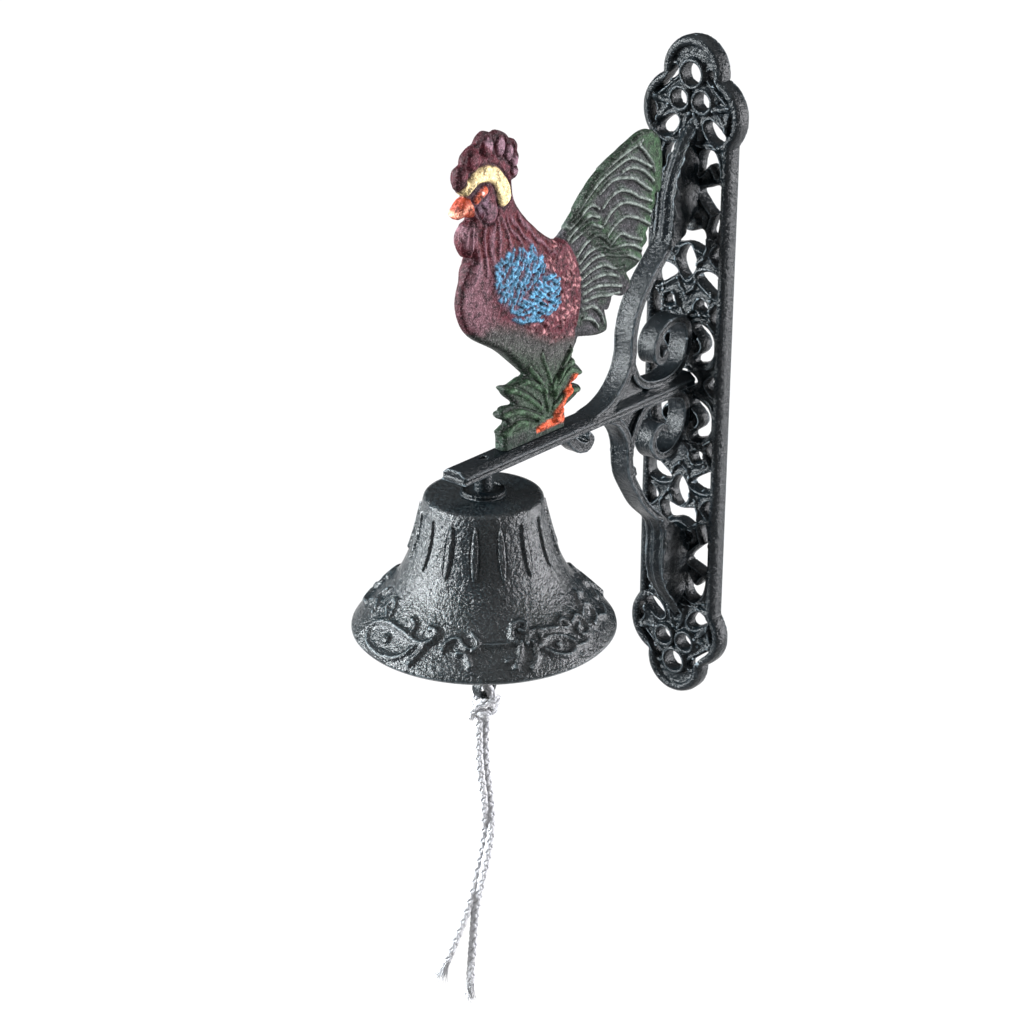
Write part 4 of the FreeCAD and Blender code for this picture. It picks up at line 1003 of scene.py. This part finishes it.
# How the body swells from the flat casting: (Y, height, radius, rise).
SWELLS = [(-121, 71, 36, 6.2), (-142, 110, 17, 4.4), (-141, 92, 20, 4.6)]
FACE_CREASES = [[(-151.6, 113.6), (-149.8, 110.0), (-147.4, 107.2), (-144.6, 106.0)],
                [(-148.4, 114.4), (-147.0, 111.4), (-147.6, 108.4)],
                [(-139.4, 113.8), (-139.2, 110.0), (-141.4, 106.6), (-145.0, 105.4)]]
# Linear colours of the hand-laid paint, and of the shade, shadows and highlights painted onto it.
MAROON = (0.070, 0.012, 0.019)
DEEP_RED = (0.075, 0.010, 0.012)
DARK_RED = (0.055, 0.006, 0.010)
RED_SHADOW = (0.022, 0.004, 0.008)
COMB_SHADOW = (0.022, 0.004, 0.007)
BROW_SHADOW = (0.022, 0.005, 0.008)
ROSE = (0.42, 0.19, 0.20)
COMB_VIOLET = (0.19, 0.105, 0.135)
NECK_VIOLET = (0.21, 0.115, 0.145)
FACE_VIOLET = (0.15, 0.105, 0.145)
CREAM = (0.66, 0.52, 0.27)
ORANGE = (0.55, 0.085, 0.030)
BEAK_RED = (0.25, 0.035, 0.015)
EYE_ORANGE = (0.52, 0.10, 0.045)
BLUE = (0.080, 0.250, 0.400)
GREEN = (0.020, 0.040, 0.022)
FROND_GREEN = (0.040, 0.085, 0.042)
TAIL_GREY = (0.017, 0.018, 0.020)
BARB_WHITE = (0.17, 0.20, 0.18)
BREAST_VIOLET = (0.20, 0.115, 0.14)
CHEEK_VIOLET = (0.15, 0.085, 0.11)
WATTLE_VIOLET = (0.165, 0.085, 0.105)
# Painted shade where the body's edge rounds off and round the beak's foot, then a painted highlight on the
# beak's ridge.
RIM_SHADE_RED = (0.030, 0.004, 0.007)
BEAK_BORDER_SHADE = (0.03, 0.006, 0.010)
BEAK_HIGHLIGHT = (0.66, 0.26, 0.17)
MOUTH_LIGHT = (0.50, 0.13, 0.07)
PUPIL = (0.008, 0.004, 0.005)
EYE_GLINT = (0.85, 0.72, 0.66)
WING_BLUE = (0.06, 0.11, 0.17)
GAP_RED = (0.060, 0.006, 0.018)
GAP_BLUE = (0.012, 0.016, 0.030)
MOSS_GREEN = (0.012, 0.034, 0.015)
BORDER_GREEN = (0.016, 0.052, 0.018)
TIP_GREEN = (0.022, 0.062, 0.022)
BARB_SHADOW = (0.006, 0.008, 0.008)
BARB_GREY = (0.075, 0.085, 0.085)
BELLY_GREY = (0.040, 0.042, 0.038)
BASE_GREEN = (0.012, 0.022, 0.015)
# Painted shade along the rounded green edges, and painted shadow in the grooves beside the fronds.
TAIL_RIM_SHADE = (0.006, 0.015, 0.008)
LEG_RIM_SHADE = (0.006, 0.012, 0.008)
FOOT_RIM_SHADE = (0.006, 0.014, 0.008)
FROND_SHADOW = (0.006, 0.012, 0.007)


def rooster_runs():
    """The outline's runs with their starting points."""
    starts = [ROOSTER_START] + [run[-1] for run in ROOSTER_RUNS[:-1]]
    return [[start, *run] for start, run in zip(starts, ROOSTER_RUNS)]


class Relief:
    """Heights and colours over the rooster's side, drawn one stroke at a time."""

    def __init__(self, sheet, height, colour):
        self.sheet = sheet
        self.height = height
        self.colour = np.broadcast_to(np.array(colour), (*height.shape, 3)).copy()

    def paint(self, cover, colour):
        cover = np.clip(cover, 0, 1)[..., None]
        self.colour = self.colour * (1 - cover) + np.array(colour) * cover

    def raise_by(self, amount):
        self.height = self.height + amount

    def ridge(self, line, radius, rise, colour=None, cover=1.0):
        gap = self.sheet.stroke(line, 0.0, 4.0)
        self.raise_by(bead(gap, radius, rise))
        if colour is not None:
            self.paint(cover * soft_step(gap, radius * 1.1, radius * 0.6), colour)


def draw_head(relief):
    sheet = relief.sheet
    u, v = sheet.u, sheet.v
    comb = (v > 118) & (v > 122 - 0.9 * (u + 128))
    for lobe in COMB_LOBES:
        oval = sheet.oval(*lobe)
        relief.raise_by(bead(oval, 1.0, 0.9) - hump((oval - 1.25) * 2.6, 0.6, 0.8))
        relief.paint(hump((oval - 1.3) * 2.6, 0.75, 0.9) * comb, COMB_SHADOW)
        relief.paint(soft_step(oval, 1.05, 0.8) * comb, COMB_VIOLET)
    band = sheet.outline(smooth_line(BROW, 4, True), 4.0)
    relief.raise_by(1.1 * soft_step(band, 0.3, -1.0) - hump(band - 0.8, 0.5, 0.6))
    relief.paint(hump(band - 0.8, 0.7, 0.95), BROW_SHADOW)
    relief.paint(soft_step(band, 0.25, -0.25), CREAM)
    beak = sheet.outline(BEAK, 5.0)
    relief.raise_by(1.0 * soft_step(beak, 0.4, -1.2))
    # Painted shade in the groove round the beak's foot.
    relief.paint(hump(beak - 0.5, 0.5, 0.9), BEAK_BORDER_SHADE)
    relief.paint(soft_step(beak, 0.3, -0.3), BEAK_RED)
    # A painted highlight along the beak's ridge.
    relief.ridge([(-161.0, 112.4), (-154.6, 115.6)], 1.1, 0.4, BEAK_HIGHLIGHT, 0.75)
    relief.ridge([(-155.0, 112.4), (-153.8, 115.8)], 0.7, 0.2, MOUTH_LIGHT, 0.6)
    face = sheet.oval(*FACE_OVAL)
    relief.paint(0.55 * soft_step(face, 1.05, 0.6) * (beak > 0.6) * (band > 1.2), FACE_VIOLET)
    socket = sheet.stroke(EYE, 2.2, 4.0)
    relief.raise_by(-hump(socket, 0.5, 0.5))
    relief.paint(hump(socket, 0.6, 0.9), RED_SHADOW)
    lid = sheet.stroke(EYE, 1.35, 4.0)
    relief.raise_by(0.9 * soft_step(lid, 0.3, -0.9))
    relief.paint(soft_step(lid, 0.2, -0.2), EYE_ORANGE)
    relief.paint(soft_step(sheet.disc((-148.8, 117.7), 0.85), 0.2, -0.2), PUPIL)
    relief.paint(soft_step(sheet.disc((-147.9, 119.2), 0.6), 0.2, -0.2), EYE_GLINT)
    for line in FACE_CREASES:
        relief.ridge(smooth_line(line, 4), 0.7, -0.7, RED_SHADOW, 0.85)
    cheek = sheet.oval(*CHEEK_OVAL)
    relief.raise_by(bead(cheek, 1.0, 0.9))
    relief.paint(0.55 * soft_step(cheek, 1.0, 0.6), CHEEK_VIOLET)
    wattle = sheet.oval(*WATTLE_OVAL)
    relief.raise_by(bead(wattle, 1.0, 1.0) - hump((wattle - 1.25) * 3, 0.6, 0.6))
    # Painted shade in the groove round the wattle, below its top.
    relief.paint(hump((wattle - 1.28) * 3, 0.9, 0.85) * (v < 109.5), DARK_RED)
    relief.paint(0.7 * soft_step(wattle, 1.0, 0.7), WATTLE_VIOLET)


def draw_body(relief, edge):
    sheet = relief.sheet
    u, v = sheet.u, sheet.v
    patch = sheet.outline(smooth_line(WING, 3, True), 8.0)
    neck = soft_step(v + 0.25 * u, 36, 52) * (v > 58) * (u < -104) * soft_step(v, 109, 104)
    neck = neck * soft_step(patch, 0.5, 4.0)
    angle = np.arctan2(v - 132, u + 143)
    strands = np.sin(angle * 52 + 0.07 * v + 1.9 * np.sin(v * 0.23 + angle * 9) + 0.8 * np.sin(u * 0.9))
    relief.raise_by(0.5 * strands * neck)
    relief.paint(0.75 * soft_step(strands, 0.1, -0.9) * neck, DEEP_RED)
    relief.paint(0.5 * soft_step(strands, 0.2, 1.0) * neck, NECK_VIOLET)
    breast = soft_step(u + 0.1 * (v - 70), -137, -150) * (v < 93) * (v > 55)
    relief.paint(0.45 * breast, BREAST_VIOLET)
    # Painted shade where the upper body's edge rounds off.
    relief.paint(0.9 * soft_step(edge, 2.6, 0.8) * (v > 58) * (u < -98), RIM_SHADE_RED)
    relief.raise_by(0.7 * soft_step(patch, 1.5, -1.0))
    for _ in range(620):
        y = random.uniform(-128, -85)
        z = random.uniform(47, 92)
        back = np.interp(z, *zip(*TAIL_START))
        if y > back - 0.8 or z < np.interp(y, *zip(*BELLY_TOP)) - 3:
            continue
        if z > 86 + 0.2 * (y + 100) and y < -112:
            continue
        lean = random.normal(-0.7, 0.5)
        size = random.uniform(0.8, 2.0)
        line = [(y, z), (y + size * math.cos(lean), z + size * math.sin(lean))]
        near = max(0.0, 1 - (back - y) / 12)
        tone = ROSE if random.uniform() < 0.26 + 0.28 * near else DARK_RED
        relief.ridge(line, random.uniform(0.4, 0.7), 0.35, tone, 0.8)
    relief.paint(0.25 * soft_step(patch, 0.5, -2.5), WING_BLUE)
    for row in range(17):
        for k in range(13):
            y = -143.5 + 3.3 * k + 0.35 * row + random.normal(0, 0.7)
            z = 91.5 - 2.0 * row - 0.12 * (y + 123) + random.normal(0, 0.5)
            if sheet.sample(patch, np.array([y + 1.5]), np.array([z]))[0] > -0.4:
                continue
            upper = y + 123 < (z - 76) * 1.6
            lean = (0.75 if upper else -0.42) + random.normal(0, 0.25)
            size = random.uniform(2.6, 4.6)
            line = smooth_line([(y, z), (y + size * 0.5 * math.cos(lean), z + size * 0.5 * math.sin(lean)),
                                (y + size * math.cos(lean + 0.35), z + size * math.sin(lean + 0.35))], 3)
            tone = random.uniform(0.6, 1.3) * np.array(BLUE)
            relief.ridge(line, random.uniform(0.7, 1.0), 0.55, tone, 0.95)
            gap = GAP_RED if random.uniform() < 0.7 else GAP_BLUE
            relief.ridge(line - np.array([0, 1.15]), 0.5, -0.4, gap, 0.85)


def draw_tail(relief):
    sheet = relief.sheet
    u, v = sheet.u, sheet.v
    start = np.interp(v, *zip(*TAIL_START))
    tail = soft_step(u - start, -0.5, 0.7) * (v > 43)
    relief.paint(tail, TAIL_GREY)
    relief.raise_by(-0.5 * tail)
    patches = np.sin(u * 0.31 + 1.7 * np.sin(v * 0.19)) * np.sin(v * 0.27 + u * 0.11)
    relief.paint(0.6 * tail * soft_step(patches, 0.2, 0.8), MOSS_GREEN)
    corners = [point for run in rooster_runs()[TAIL_RUNS] for point in run[:-1]]
    border = sheet.outline(smooth_line(corners, 2, True), 9.0)
    relief.paint(0.85 * tail * soft_step(-border, 8.0, 3.0) * (v + 0.9 * u > 12), BORDER_GREEN)
    relief.paint(0.6 * tail * soft_step(u, -50, -38), TIP_GREEN)
    for run in BARBS:
        line = smooth_line(run, 5)
        relief.ridge(line, 0.85, 1.0, BARB_WHITE, 0.85)
        relief.ridge(line + np.array([0.3, -1.5]), 0.7, -0.5, BARB_SHADOW, 0.8)
        relief.ridge(line[2:-2] + np.array([-0.4, 1.7]), 0.4, 0.35, BARB_GREY, 0.6)
    # Painted shade along the tail's rounded edge.
    relief.paint(0.85 * tail * soft_step(-border, 1.9, 0.7) * (v + 0.9 * u > 12), TAIL_RIM_SHADE)


def draw_legs(relief, edge):
    sheet = relief.sheet
    v = sheet.v
    belly = np.interp(sheet.u, *zip(*BELLY_TOP))
    relief.paint(soft_step(v - belly, 3.0, -5.0), BELLY_GREY)
    relief.paint(0.9 * soft_step(v - belly, -6.0, -17.0), GREEN)
    # Painted shade along the rounded edge below the belly.
    relief.paint(0.85 * soft_step(edge, 2.6, 0.8) * (v < belly + 2), LEG_RIM_SHADE)
    for run in FRONDS:
        relief.ridge(smooth_line(run, 5), 1.3, 1.1, FROND_GREEN, 0.6)
        line = smooth_line([(a, b + 1.7) for a, b in run], 5)
        relief.ridge(line, 0.6, -0.7, FROND_SHADOW, 0.8)
    # Painted shade along the rounded edge of the lower part.
    relief.paint(0.6 * soft_step(edge, 1.8, 0.4) * (v < 50), FOOT_RIM_SHADE)
    base = soft_step(v, 14.2, 12.6)
    relief.paint(base, BASE_GREEN)
    for line, radius in TOES:
        relief.ridge(smooth_line(line, 5), radius * 1.15, 1.3, ORANGE, 1.0)


def add_rooster():
    """The rooster: a flat casting whose two sides swell, with its feathers in low relief."""
    step = 0.44
    sheet = Sheet((-165, -29), (3.5, 144.5), step)
    outline = np.vstack([smooth_line(run, 5)[:-1] for run in rooster_runs()])
    shape = sheet.outline(outline, 9.0)
    edge = -shape
    u, v = sheet.u, sheet.v
    height = np.full(u.shape, TAIL_HALF_THICK)
    for y, z, radius, rise in SWELLS:
        away = np.hypot(u - y, v - z)
        height = np.maximum(height, bead(away, radius, rise))
    height = height + 0.35 * soft_step(u, -60, -35)
    relief = Relief(sheet, height, MAROON)
    draw_body(relief, edge)
    draw_legs(relief, edge)
    draw_tail(relief)
    draw_head(relief)
    thick = relief.height
    base = (v < 14.6) & (u > -134.7) & (u < -95.3)
    thick = np.where(base, np.maximum(thick, 3.4), thick)
    thick = np.minimum(thick, 1.0 + (thick - 1.0) * quarter_round(edge, 2.2))
    half = np.arange(-9.5, 9.5 + step, step)
    side = np.abs(half)[None, None, :] - thick[..., None]
    field = np.maximum(shape[..., None], side * 0.85)
    field = np.maximum(field, (7.62 - v)[..., None])
    points, faces = field_surface(field, (sheet.us[0], sheet.vs[0], half[0]), step, 0.05)
    colours = sheet.sample(relief.colour, points[:, 0], points[:, 1])
    placed = points[:, [2, 0, 1]] + np.array([0, *ROOSTER_SHIFT])
    piece = add_piece("rooster_casting", placed, faces, enamel)
    layer = piece.data.attributes.new("paint", "FLOAT_VECTOR", "POINT")
    layer.data.foreach_set("vector", colours.astype(np.float32).ravel())
    finish_piece(piece, "frame", "rooster_paint", "rooster")


add_plate()
add_bracket()
add_rooster()


# ---- carried-over hardware -------------------------------------------------------------------
def dress(name, material):
    """Gives a CAD node its material and slot."""
    nodes[name].data.materials.clear()
    nodes[name].data.materials.append(material)


for name in ("bracket_screws", "rooster_screws", "bell_washer", "bell_nut"):
    dress(name, zinc)
for name in ("hanger_bolt", "clapper_link"):
    dress(name, dark_steel)
dress("hanger_sleeve", plain_iron)
for name in ("clapper_rod", "clapper_ball"):
    dress(name, plain_iron)


# ---- floor and light -------------------------------------------------------------------------
# The point that every lamp faces, and the floor's size and height, in metres.
LIT_POINT = (0, -0.09, 0)
FLOOR_HALF = 20
FLOOR_Z = -1.0


def add_floor():
    """A plain pale floor a metre below the plate's middle."""
    data = bpy.data.meshes.new("floor")
    corners = [(-1, -1), (1, -1), (1, 1), (-1, 1)]
    data.from_pydata([(FLOOR_HALF * x, FLOOR_HALF * y, FLOOR_Z) for x, y in corners], [], [(0, 1, 2, 3)])
    floor = bpy.data.objects.new("floor", data)
    scene.collection.objects.link(floor)
    m = Material("floor_paint", Roughness=0.9)
    m.out(m.ramp(m.noise(0.6, 2), [(0.3, (0.90, 0.90, 0.91)), (0.7, (0.93, 0.93, 0.93))]), "Base Color")
    data.materials.append(m.data)


def add_light(name, place, size, power, spread, colour=(1, 1, 1)):
    """A rectangular lamp that faces the object; place and size in metres, spread in degrees."""
    data = bpy.data.lights.new(name, "AREA")
    data.shape = "RECTANGLE"
    data.size, data.size_y = size
    data.energy = power
    data.spread = math.radians(spread)
    data.color = colour
    lamp = bpy.data.objects.new(name, data)
    scene.collection.objects.link(lamp)
    lamp.location = place
    lamp.rotation_mode = "QUATERNION"
    lamp.rotation_quaternion = (Vector(LIT_POINT) - Vector(place)).to_track_quat("-Z", "Y")


def add_sky():
    """An even light from above and a dim surround."""
    sky = bpy.data.lights.new("sky", "SUN")
    sky.energy = 3.3
    sky.angle = math.radians(100)
    scene.collection.objects.link(bpy.data.objects.new("sky", sky))
    world = bpy.data.worlds.new("studio")
    scene.world = world
    world.use_nodes = True
    background = world.node_tree.nodes["Background"]
    background.inputs["Color"].default_value = (1, 1, 1, 1)
    background.inputs["Strength"].default_value = 0.10


add_floor()
add_light("left", (-1.08, -1.15, 0.36), size=(0.36, 1.2), power=24.0, spread=55, colour=(0.93, 0.98, 1.0))
add_light("right", (1.10, 1.00, 0.05), size=(0.45, 1.3), power=12.5, spread=60, colour=(0.97, 0.97, 1.0))
add_light("front_right", (1.45, -0.55, 0.55), size=(0.6, 0.9), power=1.2, spread=60)
add_sky()
scene.view_settings.view_transform = "Standard"
